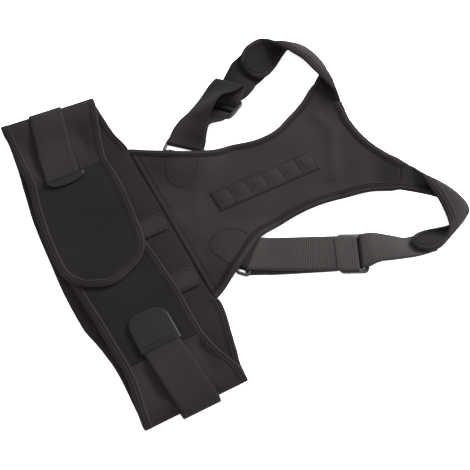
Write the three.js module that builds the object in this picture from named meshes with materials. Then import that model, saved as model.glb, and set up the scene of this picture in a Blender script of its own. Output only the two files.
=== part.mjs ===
import * as THREE from 'three';

// Posture corrector lying with its body side up, belt wings folded inwards. Millimetres, +Z up.
// +Y runs along the spine to the neck, +X along the belt, and z = 0 is the surface that it lies on.

// Thickness of each cloth, and the clearance between pieces that touch.
const NEOPRENE = 3;
const PILE_CLOTH = 2.6;
const ELASTIC = 1.6;
const LEATHERETTE = 2;
const WEBBING = 1.5;
const POCKET_CLOTH = 1.5;
const CLEARANCE = 0.3;

// Widths of the straps.
const STRAP_WIDTH = 42;
const WEBBING_WIDTH = 38;
const ELASTIC_WIDTH = 35;

// Back panel: reach of its two armhole edges from the spine, from the belt seam up to the arms.
const SEAM_Y = -51;
const ARMHOLE = [
  { y: -50.8, left: 101, right: 102 },
  { y: -16, left: 75, right: 84 },
  { y: 19, left: 57.5, right: 63.2 },
  { y: 48, left: 54, right: 56 },
  { y: 75, left: 51.5, right: 53 },
  { y: 100, left: 53, right: 54 },
  { y: 122, left: 58, right: 58.5 },
  { y: 145, left: 66, right: 66 },
  { y: 168, left: 79, right: 79 },
];
const NECK = [
  { x: -48, y: 183 },
  { x: -28, y: 178 },
  { x: -4, y: 176.5 },
  { x: 18, y: 178.5 },
  { x: 37, y: 186 },
  { x: 53, y: 195 },
];
// Soft crease across the panel, beyond which it rises towards the neck, and where the rise ends in softnesses.
const CREASE = [
  { x: -79, y: 126 },
  { x: -48, y: 148 },
  { x: -22, y: 152 },
  { x: 35, y: 122 },
  { x: 79, y: 108 },
];
const NECK_SLOPE = 0.17;
const CREASE_SOFTNESS = 5;
const CREASE_END = 6;
// Clearance at the seam between an arm and its strap, and how far the strap goes on in line with the panel.
const ARM_SEAM = 0.5;
const ARM_LEAD = 3.5;

// Shoulder straps: a row for each ruling, from the armhole edge (a) to the neck edge (n), and how far the band
// bulges between them. The neck edge turns over the arm like a collar and comes back to the outside.
const STRAP_RIGHT = [
  { ax: 99, ay: 198, az: 9, nx: 65, ny: 196.5, nz: 16, bulge: 1 },
  { ax: 117, ay: 216, az: 4, nx: 80, ny: 196, nz: 19, bulge: 4 },
  { ax: 126, ay: 222, az: 4, nx: 100, ny: 194, nz: 21, bulge: 6 },
  { ax: 131, ay: 221, az: 4, nx: 122, ny: 191, nz: 22, bulge: 7 },
  { ax: 135, ay: 216, az: 4, nx: 142, ny: 185, nz: 23, bulge: 6 },
  { ax: 141, ay: 205, az: 4, nx: 155, ny: 176, nz: 26, bulge: 4 },
  { ax: 143, ay: 187, az: 4, nx: 165, ny: 163, nz: 28, bulge: 1 },
  { ax: 138, ay: 165, az: 4, nx: 166, ny: 151, nz: 26, bulge: 0 },
  { ax: 132, ay: 145, az: 4, nx: 161, ny: 134, nz: 23, bulge: 0 },
];
const STRAP_LEFT = [
  { ax: -100, ay: 192, az: 8, nx: -60, ny: 182, nz: 15, bulge: 1 },
  { ax: -120, ay: 196, az: 4, nx: -76, ny: 177, nz: 18, bulge: 2 },
  { ax: -135, ay: 194, az: 4, nx: -96, ny: 173, nz: 21, bulge: 3 },
  { ax: -146, ay: 188, az: 4, nx: -115, ny: 170, nz: 22, bulge: 4 },
  { ax: -153, ay: 180, az: 4, nx: -131, ny: 163, nz: 23, bulge: 5 },
  { ax: -150, ay: 170, az: 4, nx: -146, ny: 156, nz: 23, bulge: 6 },
  { ax: -142, ay: 158, az: 4.5, nx: -158, ny: 149, nz: 23, bulge: 5 },
  { ax: -133, ay: 146, az: 5, nx: -164, ny: 140, nz: 21, bulge: 1 },
  { ax: -125, ay: 131, az: 5, nx: -163, ny: 127, nz: 19, bulge: 0 },
  { ax: -121, ay: 111, az: 5, nx: -159, ny: 107, nz: 16, bulge: 0 },
];

// Waist belt: lower and upper edge of the back section.
const BELT = [
  { x: -167.7, low: -160, high: -58 },
  { x: -126, low: -163, high: -58.5 },
  { x: -104, low: -166, high: -51.2 },
  { x: -60, low: -171, high: -51.2 },
  { x: 0, low: -174, high: -51.2 },
  { x: 32, low: -174, high: -51.2 },
  { x: 75, low: -168, high: -51.2 },
  { x: 104, low: -159, high: -51.2 },
  { x: 128, low: -156, high: -58 },
  { x: 172.7, low: -160, high: -61 },
];
// The belt climbs over the elastic straps between these distances from the spine.
const STEP_START = 92;
const STEP_END = 110;

// Folded sides of the belt: the way round the fold in x and z, with both edges, and how far the fold leans in x
// from its middle to its upper edge.
const WING_LEFT = [
  { x: -168, z: 3.4, low: -160, high: -58, lean: 0 },
  { x: -175, z: 4.6, low: -161, high: -58.5, lean: 2 },
  { x: -179, z: 10, low: -161, high: -59, lean: 3 },
  { x: -175, z: 15.4, low: -161, high: -59.5, lean: 3 },
  { x: -164, z: 17, low: -161, high: -61, lean: 2 },
  { x: -143, z: 15.2, low: -161, high: -66, lean: 0 },
  { x: -118, z: 12.8, low: -161, high: -73, lean: 0 },
  { x: -95, z: 11.4, low: -161, high: -78, lean: 0 },
];
const WING_RIGHT = [
  { x: 173, z: 3.4, low: -160, high: -61 },
  { x: 184, z: 4.2, low: -161, high: -62 },
  { x: 189, z: 8.6, low: -161, high: -63 },
  { x: 184, z: 13, low: -161, high: -64 },
  { x: 173, z: 14.2, low: -160, high: -66 },
  { x: 152, z: 11.8, low: -157, high: -73 },
  { x: 128, z: 9.2, low: -156, high: -78 },
];
// Velvety ends of the wings, the left one on top.
const FLAP = [
  { x: -94.7, z: 11.4, low: -161, high: -78 },
  { x: -60, z: 10.4, low: -167, high: -76 },
  { x: -20, z: 9.6, low: -170, high: -79 },
  { x: 14, z: 9.3, low: -169, high: -83 },
  { x: 30, z: 9.3, low: -163, high: -90 },
  { x: 40, z: 9.3, low: -155, high: -101 },
  { x: 46, z: 9.3, low: -143, high: -115 },
];
const LOOP_PANEL = [
  { x: 127.7, z: 9.2, low: -156, high: -78 },
  { x: 108, z: 7.5, low: -158, high: -77.5 },
  { x: 86, z: 6.5, low: -159.5, high: -77 },
  { x: 50, z: 6.4, low: -163, high: -79 },
  { x: 14, z: 6.4, low: -165, high: -83 },
  { x: -6, z: 6.4, low: -161, high: -88 },
  { x: -14, z: 6.4, low: -150, high: -100 },
];

// Elastic straps: where they are sewn to and leave the belt's underside, and the middle of their width
// on the way.
const ELASTIC_SEWN_X = 113;
const ELASTIC_FREE_X = 145;
const BELT_MIDDLE_Y = -110;
const ELASTIC_LEFT = { sewn_y: -111, fold_y: -113, end_y: -127 };
const ELASTIC_RIGHT = { sewn_y: -110, fold_y: -110, end_y: -116.5 };
const TAB_LEFT = { length: 10, width: 39, shift: 2.5 };
const TAB_RIGHT = { length: 37, width: 38, shift: 0 };

// Magnet strip: six pockets along the spine.
const MAGNETS = 6;
const MAGNET_STRIP = { x: 3, y: 0, width: 25, length: 117, thickness: 1.2, puff: 1.8 };

// Stay pockets on the back section, beside the seam.
const STAY_WIDTH = 22;
const STAY_TOP = -54;
const STAY_BOTTOM = -158;
const STAY_INNER_X = 0;
const STAY_OUTER_X = 71;

// Rings: rectangular wire at a slant to the panel's edge, held by a sewn loop beneath the panel.
const RING = { z: 3.15, length: 50, width: 15, wire: 2.4, corner: 2.5, slant: 47 };
const RING_RIGHT = { x: 80, y: 4 };
const RING_LEFT = { x: -73, y: 8 };
const RING_TAB = { width: 30, tail: 17, cloth: 1, radius: 2.35 };
// Rise of the panel over a ring, its reach and where it ends in reaches, and how far in from the bar
// it is centred.
const RING_LIFT = 6.5;
const RING_LIFT_REACH = 36;
const RING_LIFT_END = 1.6;
const RING_INSET = 7;

// Webbing: heading from the ring's outer bar, distance of the slide buckle, angle and shift at which it is
// sewn to its strap, and for the upper and the lower layer the turn about its length and how far it strays
// outwards.
const WEBBING_RIGHT = {
  heading: 65,
  buckle: 94,
  sewn: { angle: 0, shift: 0 },
  turns: [
    { along: 0, upper: 0, lower: 0, upper_aside: 0, lower_aside: 0 },
    { along: 113, upper: 0, lower: 0, upper_aside: 0, lower_aside: 0 },
    { along: 124, upper: 0, lower: -26, upper_aside: 0, lower_aside: 0 },
  ],
};
const WEBBING_LEFT = {
  heading: 120,
  buckle: 66,
  sewn: { angle: 14, shift: 6 },
  turns: [
    { along: 0, upper: 0, lower: 0, upper_aside: 0, lower_aside: 0 },
    { along: 24, upper: 24, lower: 24, upper_aside: 6, lower_aside: 6 },
    { along: 44, upper: 42, lower: 14, upper_aside: 2, lower_aside: 0 },
    { along: 56, upper: 42, lower: 14, upper_aside: 1, lower_aside: 0 },
    { along: 84, upper: 18, lower: 14, upper_aside: 3, lower_aside: 0 },
    { along: 96, upper: 14, lower: 18, upper_aside: 3, lower_aside: 1 },
  ],
};
// Its rulings turn from the ring's bar to square between these distances.
const BAR_RULING = { from: 5, to: 70 };
const WEBBING_SEWN = 20;
const WEBBING_STITCH = 8;
const BUCKLE = { across: 44, along: 33, bar: 4, centre_bar: 5, end: 2.5, thickness: 3, z: 4.35, blunt: 1 };
// The way of the webbing: distance from the buckle's middle or from the ring's bar, height, and the share of
// the upper layer's turn that it takes. The loop round the buckle's middle bar is tight on one side, loose on
// the other.
const LOOP_TIGHT = [
  { along: -4, z: 3.2, upper: 0 },
  { along: 0, z: 3.2, upper: 0 },
  { along: 2.6, z: 3.3, upper: 0 },
  { along: 4.4, z: 4.4, upper: 0 },
  { along: 4.8, z: 5.9, upper: 0.5 },
  { along: 4.4, z: 7.5, upper: 1 },
  { along: 2.6, z: 8.7, upper: 1 },
  { along: 0, z: 8.8, upper: 1 },
  { along: -8, z: 9.9, upper: 1 },
  { along: -14.5, z: 10.9, upper: 1 },
  { along: -24, z: 10, upper: 1 },
];
const LOOP_LOOSE = [
  { along: -4, z: 3.2, upper: 0 },
  { along: 0, z: 3.2, upper: 0 },
  { along: 2.6, z: 3.3, upper: 0 },
  { along: 4.4, z: 4.6, upper: 0 },
  { along: 5.2, z: 7.4, upper: 0 },
  { along: 9, z: 10.6, upper: 0 },
  { along: 17, z: 11.2, upper: 0.3 },
  { along: 22, z: 11.6, upper: 0.6 },
  { along: 23.4, z: 13, upper: 0.9 },
  { along: 21, z: 14.4, upper: 1 },
  { along: 10, z: 14.4, upper: 1 },
  { along: -6, z: 13.4, upper: 1 },
  { along: -24, z: 10.4, upper: 1 },
];
const RING_LOOP = [
  { along: 28, z: 7, upper: 1 },
  { along: 16, z: 6, upper: 1 },
  { along: 8, z: 5.5, upper: 1 },
  { along: 3, z: 5.4, upper: 1 },
  { along: 0, z: 5.4, upper: 1 },
  { along: -1.9, z: 4.8, upper: 1 },
  { along: -2.7, z: 3.15, upper: 1 },
  { along: -1.9, z: 1.5, upper: 0 },
  { along: 0, z: 0.95, upper: 0 },
  { along: 3, z: 0.95, upper: 0 },
  { along: 8, z: 1.1, upper: 0 },
  { along: 16, z: 1.7, upper: 0 },
  { along: 26, z: 2.6, upper: 0 },
];
const BUCKLE_WEAVE = [
  { along: -24, z: 7.2 },
  { along: -17.5, z: 8.6 },
  { along: -14.5, z: 8.8 },
  { along: -11.5, z: 8.4 },
  { along: -8.8, z: 4.9 },
  { along: -6, z: 1.9 },
  { along: 0, z: 1.5 },
  { along: 5.5, z: 1.6 },
  { along: 8, z: 4 },
  { along: 10.2, z: 7.4 },
  { along: 12, z: 8.6 },
  { along: 14.5, z: 8.8 },
  { along: 18, z: 8.4 },
  { along: 22, z: 7 },
  { along: 28, z: 4.6 },
];

const COLOURS = {
  neoprene: 0x3c3636,
  pile: 0x262425,
  elastic: 0x3a3637,
  leatherette: 0x333234,
  webbing: 0x413f40,
  wire: 0x55524f,
  plastic: 0x1f1e20,
};

const degrees = THREE.MathUtils.degToRad;
const clamp = THREE.MathUtils.clamp;
const smoothstep = THREE.MathUtils.smoothstep;

// Cubic through four neighbours of a table's column, for an even step between rows.
function cubic(a, b, c, d, t) {
  return 0.5 * (2 * b + (c - a) * t + (2 * a - 5 * b + 4 * c - d) * t * t + (3 * b - a - 3 * c + d) * t ** 3);
}

// Value of one column where another column, rising or falling, has the given value.
function lookUp(rows, by, key, value) {
  const rising = rows[rows.length - 1][by] > rows[0][by];
  let i = rows.findIndex((row) => (rising ? row[by] > value : row[by] < value)) - 1;
  if (i === -2) i = rows.length - 2;
  i = clamp(i, 0, rows.length - 2);
  const t = (value - rows[i][by]) / (rows[i + 1][by] - rows[i][by]);
  const before = rows[Math.max(i - 1, 0)][key];
  const after = rows[Math.min(i + 2, rows.length - 1)][key];
  return cubic(before, rows[i][key], rows[i + 1][key], after, clamp(t, 0, 1));
}

// The same, easing from row to row, so that a value held by two rows is held between them.
function easeUp(rows, by, key, value) {
  const i = clamp(rows.findIndex((row) => row[by] > value), 1, rows.length - 1);
  const next = value >= rows[rows.length - 1][by] ? rows.length - 1 : i;
  const share = smoothstep(value, rows[next - 1][by], rows[next][by]);
  return rows[next - 1][key] + (rows[next][key] - rows[next - 1][key]) * share;
}

// Closed solid between an upper and a lower grid of points that have the same rows and columns.
function slab(upper, lower) {
  const rows = upper.length;
  const columns = upper[0].length;
  const positions = [...upper.flat(), ...lower.flat()].flatMap((p) => [p.x, p.y, p.z]);
  const top = (i, j) => i * columns + j;
  const base = (i, j) => rows * columns + top(i, j);
  const index = [];
  for (let i = 0; i + 1 < rows; i++) {
    for (let j = 0; j + 1 < columns; j++) {
      const [m, n] = [i + 1, j + 1];
      index.push(top(i, j), top(m, j), top(m, n), top(i, j), top(m, n), top(i, n));
      index.push(base(i, j), base(m, n), base(m, j), base(i, j), base(i, n), base(m, n));
    }
  }
  const rim = [];
  for (let i = 0; i + 1 < rows; i++) rim.push([i, 0]);
  for (let j = 0; j + 1 < columns; j++) rim.push([rows - 1, j]);
  for (let i = rows - 1; i > 0; i--) rim.push([i, columns - 1]);
  for (let j = columns - 1; j > 0; j--) rim.push([0, j]);
  rim.forEach(([i, j], k) => {
    const [m, n] = rim[(k + 1) % rim.length];
    index.push(top(i, j), base(i, j), base(m, n), top(i, j), base(m, n), top(m, n));
  });
  const geometry = new THREE.BufferGeometry();
  geometry.setAttribute('position', new THREE.Float32BufferAttribute(positions, 3));
  geometry.setIndex(index);
  return geometry;
}

// Wall of even thickness about a grid of points on its middle surface.
function wall(grid, thickness) {
  const rows = grid.length;
  const columns = grid[0].length;
  const shifted = (distance) => grid.map((row, i) => row.map((point, j) => {
    const along = grid[Math.min(i + 1, rows - 1)][j].clone().sub(grid[Math.max(i - 1, 0)][j]);
    const across = row[Math.min(j + 1, columns - 1)].clone().sub(row[Math.max(j - 1, 0)]);
    return point.clone().addScaledVector(along.cross(across).normalize(), distance);
  }));
  return slab(shifted(thickness / 2), shifted(-thickness / 2));
}

// Stations along a band, each a centre, a half-width vector and a bulge, drawn out smoothly with steps between.
function drawOut(stations, steps) {
  const four = (i) => [i - 1, i, i + 1, i + 2].map((n) => stations[clamp(n, 0, stations.length - 1)]);
  const blend = (key, i, t) => {
    const near = four(i).map((station) => station[key]);
    return new THREE.Vector3(...['x', 'y', 'z'].map((axis) => cubic(...near.map((v) => v[axis]), t)));
  };
  const rows = [];
  for (let i = 0; i + 1 < stations.length; i++) {
    for (let k = 0; k < steps; k++) {
      const t = k / steps;
      const bulge = cubic(...four(i).map((station) => station.bulge ?? 0), t);
      rows.push({ centre: blend('centre', i, t), across: blend('across', i, t), bulge });
    }
  }
  rows.push({ bulge: 0, ...stations[stations.length - 1] });
  return rows;
}

// The same rows at an even spacing, with the last stretch narrowed to a round end.
function roundEnd(rows, spacing, radius) {
  const lengths = [0];
  for (let i = 1; i < rows.length; i++) {
    lengths.push(lengths[i - 1] + rows[i].centre.distanceTo(rows[i - 1].centre));
  }
  const total = lengths[lengths.length - 1];
  const at = (length, scale) => {
    let i = lengths.findIndex((l) => l > length) - 1;
    if (i < 0) i = rows.length - 2;
    const t = (length - lengths[i]) / (lengths[i + 1] - lengths[i]);
    const centre = rows[i].centre.clone().lerp(rows[i + 1].centre, t);
    const across = rows[i].across.clone().lerp(rows[i + 1].across, t).multiplyScalar(scale);
    return { centre, across, bulge: rows[i].bulge + (rows[i + 1].bulge - rows[i].bulge) * t };
  };
  const straight = Math.ceil((total - radius) / spacing);
  const result = [];
  for (let k = 0; k < straight; k++) result.push(at(((total - radius) * k) / straight, 1));
  for (const angle of [0, 25, 45, 60, 72, 81]) {
    result.push(at(total - radius + radius * Math.sin(degrees(angle)), Math.cos(degrees(angle))));
  }
  return result;
}

// Points across each row of a band, from one edge to the other, bulged towards its lower face.
function bandGrid(rows, columns) {
  const shares = Array.from({ length: columns }, (_, j) => (2 * j) / (columns - 1) - 1);
  return rows.map(({ centre, across, bulge = 0 }, i) => {
    const along = rows[Math.min(i + 1, rows.length - 1)].centre.clone().sub(rows[Math.max(i - 1, 0)].centre);
    const normal = along.cross(across).normalize();
    return shares.map((w) => (
      centre.clone().addScaledVector(across, w).addScaledVector(normal, -bulge * (1 - w * w))
    ));
  });
}

const group = new THREE.Group();

function addPiece(name, geometry, colour, roughness, metalness = 0) {
  const material = new THREE.MeshStandardMaterial({ color: colour, roughness, metalness });
  const mesh = new THREE.Mesh(geometry, material);
  mesh.name = name;
  group.add(mesh);
  return mesh;
}

// Height of the panel's underside: it lies flat, rides over the rings, and rises beyond the crease.
function panelRise(x, y) {
  const beyond = (y - lookUp(CREASE, 'x', 'y', x)) / CREASE_SOFTNESS;
  const neck = NECK_SLOPE * CREASE_SOFTNESS * Math.log1p(Math.exp(beyond));
  const ring = x < 0 ? RING_LEFT : RING_RIGHT;
  const inwards = Math.sign(ring.x) * (ring.x - x) - RING_INSET;
  const toRing = Math.hypot(inwards, ring.y - y - RING_INSET) / RING_LIFT_REACH;
  const lift = RING_LIFT * Math.exp(-(toRing ** 4));
  return (beyond > -CREASE_END ? neck : 0) + (toRing < RING_LIFT_END ? lift : 0);
}

const onPanel = (x, y) => new THREE.Vector3(x, y, panelRise(x, y) + NEOPRENE / 2);

// Ends of the arms, from the armhole edge to the neck edge.
const ARM_TOP = ARMHOLE[ARMHOLE.length - 1];
const armEnd = (side) => ({
  armhole: new THREE.Vector2(side < 0 ? -ARM_TOP.left : ARM_TOP.right, ARM_TOP.y),
  neck: new THREE.Vector2(...Object.values(side < 0 ? NECK[0] : NECK[NECK.length - 1])),
});

// Back panel: a patch between the seam, the two armhole edges, and the top edge of arms and neck.
function backPanel() {
  const rows = 18;
  const armColumns = 3;
  const neckColumns = 10;
  const left = armEnd(-1);
  const right = armEnd(1);
  const top = [];
  for (let j = 0; j < armColumns; j++) top.push(left.armhole.clone().lerp(left.neck, j / armColumns));
  for (let j = 0; j <= neckColumns; j++) {
    const x = NECK[0].x + ((NECK[NECK.length - 1].x - NECK[0].x) * j) / neckColumns;
    top.push(new THREE.Vector2(x, lookUp(NECK, 'x', 'y', x)));
  }
  for (let j = 1; j <= armColumns; j++) top.push(right.neck.clone().lerp(right.armhole, j / armColumns));
  const last = top.length - 1;
  const foot = ARMHOLE[0];
  const grid = [];
  for (let i = 0; i <= rows; i++) {
    const v = i / rows;
    const y = foot.y + (ARM_TOP.y - foot.y) * v;
    const [pullLeft, pullRight] = ['left', 'right'].map((edge) => (
      lookUp(ARMHOLE, 'y', edge, y) - (foot[edge] + (ARM_TOP[edge] - foot[edge]) * v)
    ));
    grid.push(top.map((edge, j) => {
      const u = j / last;
      const footX = u * foot.right - (1 - u) * foot.left;
      const x = (1 - v) * footX + v * edge.x + u * pullRight - (1 - u) * pullLeft;
      return onPanel(x, (1 - v) * foot.y + v * edge.y);
    }).reverse());
  }
  return wall(grid, NEOPRENE);
}

// Rows of a shoulder strap: it leaves the arm in line with the panel, and goes on to its round end.
function strapRows(table, side) {
  const { armhole, neck } = armEnd(side);
  const ruling = (onArmhole, onNeck, bulge) => ({
    centre: onArmhole.clone().add(onNeck).multiplyScalar(0.5),
    across: onNeck.clone().sub(onArmhole).multiplyScalar(0.5 * side),
    bulge,
  });
  const seam = neck.clone().sub(armhole).normalize();
  const ahead = new THREE.Vector2(side * seam.y, -side * seam.x);
  const leaving = [ARM_SEAM, ARM_LEAD].map((distance) => {
    const [a, n] = [armhole, neck].map((point) => point.clone().addScaledVector(ahead, distance));
    return ruling(onPanel(a.x, a.y), onPanel(n.x, n.y), 0);
  });
  const stations = table.map(({ ax, ay, az, nx, ny, nz, bulge }) => (
    ruling(new THREE.Vector3(ax, ay, az), new THREE.Vector3(nx, ny, nz), bulge)
  ));
  return roundEnd(drawOut([...leaving, ...stations], 6), 6, STRAP_WIDTH / 2);
}

// Height of the belt's underside: flat in the middle, over the elastic straps at the sides.
const beltRise = (x) => (ELASTIC + CLEARANCE) * smoothstep(Math.abs(x), STEP_START, STEP_END);

function beltBack() {
  const rows = 28;
  const columns = 5;
  const from = BELT[0].x;
  const to = BELT[BELT.length - 1].x;
  const grid = [];
  for (let i = 0; i <= rows; i++) {
    const x = from + ((to - from) * i) / rows;
    const low = lookUp(BELT, 'x', 'low', x);
    const high = Math.min(lookUp(BELT, 'x', 'high', x), SEAM_Y - CLEARANCE / 2);
    const z = beltRise(x) + NEOPRENE / 2;
    const y = (j) => low + ((high - low) * j) / (columns - 1);
    grid.push(Array.from({ length: columns }, (_, j) => new THREE.Vector3(x, y(j), z)));
  }
  return wall(grid, NEOPRENE);
}

// Stations of a wing or of its velvety end. Its across vector keeps the outer face outwards.
const wingStations = (table, side) => table.map(({ x, z, low, high, lean = 0 }) => ({
  centre: new THREE.Vector3(x, (low + high) / 2, z),
  across: new THREE.Vector3(lean, (high - low) / 2, 0).multiplyScalar(side),
}));

const wing = (table, side) => wall(bandGrid(drawOut(wingStations(table, side), 3), 5), NEOPRENE);
const wingEnd = (table, side) => wall(bandGrid(drawOut(wingStations(table, side), 3), 6), PILE_CLOTH);

// Elastic strap: from its sewn end under the belt, round the outside of the fold, to its tab.
const ON_WING = (NEOPRENE + ELASTIC) / 2 + CLEARANCE;

function pullStrap(table, run, side) {
  const way = drawOut(wingStations(table, side), 3);
  const under = [ELASTIC_SEWN_X, ELASTIC_FREE_X].map((x) => ({ x: side * x, z: ELASTIC / 2, lean: 0 }));
  const round = way.map(({ centre, across }, i) => {
    const before = way[Math.max(i - 1, 0)].centre;
    const after = way[Math.min(i + 1, way.length - 1)].centre;
    const length = Math.hypot(after.x - before.x, after.z - before.z);
    return {
      x: centre.x + (side * ON_WING * (after.z - before.z)) / length,
      z: centre.z - (side * ON_WING * (after.x - before.x)) / length,
      lean: across.x / across.y,
    };
  });
  const stations = [...under, ...round];
  const middle = (stations.length - 1) / 2;
  const rows = stations.map(({ x, z, lean }, i) => {
    const [from, to] = i < middle ? [run.sewn_y, run.fold_y] : [run.fold_y, run.end_y];
    const y = from + ((to - from) * (i < middle ? i : i - middle)) / middle;
    const half = (side * ELASTIC_WIDTH) / 2;
    return {
      centre: new THREE.Vector3(x + lean * (y - BELT_MIDDLE_Y), y, z),
      across: new THREE.Vector3(lean * half, half, 0),
    };
  });
  return wall(bandGrid(rows, 3), ELASTIC);
}

// Leatherette tab at the end of an elastic strap, lying on the wing's velvety end.
function pullTab(table, run, { length, width, shift }, side) {
  const lift = (PILE_CLOTH + LEATHERETTE) / 2 + 2 * CLEARANCE;
  const from = table[0].x - side * CLEARANCE;
  const stations = [0, 0.25, 0.5, 0.75, 1].map((share) => {
    const x = from - side * length * share;
    return {
      centre: new THREE.Vector3(x, run.end_y + shift, lookUp(table, 'x', 'z', x) + lift),
      across: new THREE.Vector3(0, (side * width) / 2, 0),
    };
  });
  const radius = Math.min(length - 2, width / 2);
  return wall(bandGrid(roundEnd(drawOut(stations, 4), 6, radius), 5), LEATHERETTE);
}

// Magnet strip: a flat backing with a puffed square over each magnet.
function magnetStrip() {
  const perMagnet = 5;
  const columns = 6;
  const upper = [];
  const lower = [];
  const { x, y, width, length, thickness, puff } = MAGNET_STRIP;
  for (let i = 0; i <= MAGNETS * perMagnet; i++) {
    const along = (i % perMagnet) / perMagnet;
    const crown = i % perMagnet === 0 ? 0 : Math.sin(Math.PI * along) ** 0.4;
    const top = [];
    const base = [];
    for (let j = columns; j >= 0; j--) {
      const share = j / columns;
      const swell = puff * crown * (j % columns === 0 ? 0 : Math.sin(Math.PI * share) ** 0.4);
      const px = x + width * (share - 0.5);
      const py = y + (length * i) / (MAGNETS * perMagnet);
      const z = panelRise(px, py) + NEOPRENE + CLEARANCE;
      base.push(new THREE.Vector3(px, py, z));
      top.push(new THREE.Vector3(px, py, z + thickness + swell));
    }
    upper.push(top);
    lower.push(base);
  }
  return slab(upper, lower);
}

// Stay pocket: a sewn channel with a round upper end, lying on the back section.
function stayPocket(x) {
  const z = NEOPRENE + CLEARANCE + POCKET_CLOTH / 2;
  const stations = [STAY_BOTTOM, -120, -85, STAY_TOP].map((y) => ({
    centre: new THREE.Vector3(x, y, z),
    across: new THREE.Vector3(-STAY_WIDTH / 2, 0, 0),
  }));
  return wall(bandGrid(roundEnd(drawOut(stations, 3), 30, STAY_WIDTH / 2), 4), POCKET_CLOTH);
}

// Directions at a ring: along its bars, and outwards from the panel.
function ringAxes(side) {
  const slant = degrees(RING.slant);
  const ring = side < 0 ? RING_LEFT : RING_RIGHT;
  return {
    bar: new THREE.Vector3(side * Math.cos(slant), -Math.sin(slant), 0),
    out: new THREE.Vector3(side * Math.sin(slant), Math.cos(slant), 0),
    outerBar: new THREE.Vector3(ring.x, ring.y, RING.z),
    pitch: RING.width - RING.wire,
  };
}

// Ring: round wire bent to a rectangle with round corners.
function wireRing(side) {
  const { bar, out, outerBar, pitch } = ringAxes(side);
  const half = (RING.length - RING.wire) / 2;
  const sides = 8;
  const corners = [[half, 0], [half, -pitch], [-half, -pitch], [-half, 0]];
  const path = [];
  corners.forEach(([a, b], k) => {
    const centre = [a - Math.sign(a) * RING.corner, b + (b === 0 ? -1 : 1) * RING.corner];
    for (let step = 0; step <= 3; step++) {
      const angle = degrees(90 - 90 * k - 30 * step);
      const p = centre[0] + RING.corner * Math.cos(angle);
      const q = centre[1] + RING.corner * Math.sin(angle);
      path.push({ p, q, angle });
    }
  });
  const positions = path.flatMap(({ p, q, angle }) => Array.from({ length: sides }, (_, s) => {
    const turn = (2 * Math.PI * s) / sides;
    const reach = (RING.wire / 2) * Math.cos(turn);
    const point = outerBar.clone()
      .addScaledVector(bar, p + reach * Math.cos(angle))
      .addScaledVector(out, q + reach * Math.sin(angle));
    return [point.x, point.y, point.z + (RING.wire / 2) * Math.sin(turn)];
  }).flat());
  const index = [];
  for (let i = 0; i < path.length; i++) {
    for (let s = 0; s < sides; s++) {
      const a = i * sides + s;
      const b = i * sides + ((s + 1) % sides);
      const c = ((i + 1) % path.length) * sides + s;
      const d = ((i + 1) % path.length) * sides + ((s + 1) % sides);
      if (side > 0) index.push(a, b, c, c, b, d);
      else index.push(a, c, b, c, d, b);
    }
  }
  const geometry = new THREE.BufferGeometry();
  geometry.setAttribute('position', new THREE.Float32BufferAttribute(positions, 3));
  geometry.setIndex(index);
  return geometry;
}

// Ring tab: a sewn loop round the inner bar, with a tail under the panel.
function ringTab(side) {
  const { bar, out, outerBar, pitch } = ringAxes(side);
  const { width, tail, cloth, radius } = RING_TAB;
  const profile = new THREE.Shape();
  profile.moveTo(-tail, -radius);
  profile.absarc(0, 0, radius, -Math.PI / 2, Math.PI + Math.asin((radius - cloth) / radius), false);
  profile.lineTo(-tail, cloth - radius);
  profile.closePath();
  const eye = new THREE.Path();
  eye.absarc(0, 0, radius - cloth, 0, 2 * Math.PI, true);
  profile.holes.push(eye);
  const geometry = new THREE.ExtrudeGeometry(profile, { depth: width, bevelEnabled: false, curveSegments: 6 });
  geometry.translate(0, 0, -width / 2);
  const depthAxis = out.clone().cross(new THREE.Vector3(0, 0, 1));
  const place = new THREE.Matrix4().makeBasis(out, new THREE.Vector3(0, 0, 1), depthAxis);
  place.setPosition(outerBar.clone().addScaledVector(out, -pitch));
  geometry.applyMatrix4(place);
  return geometry;
}

// Frame of the webbing at a distance from the ring's outer bar: its directions, and the point under its middle.
// A positive turn raises its edge beside the armhole, a negative one the edge outside.
function webbingFrame(run, side, distance, upper) {
  const heading = degrees(run.heading);
  const ahead = new THREE.Vector3(Math.cos(heading), Math.sin(heading), 0);
  const flat = new THREE.Vector3(-Math.sin(heading), Math.cos(heading), 0);
  const blend = (high, low) => {
    const [most, least] = [high, low].map((key) => easeUp(run.turns, 'along', key, distance));
    return least + (most - least) * upper;
  };
  const turn = side * degrees(blend('upper', 'lower'));
  const aside = blend('upper_aside', 'lower_aside');
  const { bar, outerBar } = ringAxes(side);
  const square = smoothstep(distance, BAR_RULING.from, BAR_RULING.to);
  const ruling = flat.clone().lerp(bar.multiplyScalar(-side), 1 - square).normalize();
  const up = new THREE.Vector3(0, 0, 1);
  const left = ruling.multiplyScalar(Math.cos(turn)).addScaledVector(up, Math.sin(turn));
  const normal = up.clone().multiplyScalar(Math.cos(turn)).addScaledVector(flat, -Math.sin(turn));
  const foot = new THREE.Vector3(outerBar.x, outerBar.y, (Math.abs(Math.sin(turn)) * WEBBING_WIDTH) / 2);
  foot.addScaledVector(ahead, distance).addScaledVector(flat, -side * aside);
  return { ahead, left, normal, foot };
}

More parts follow.
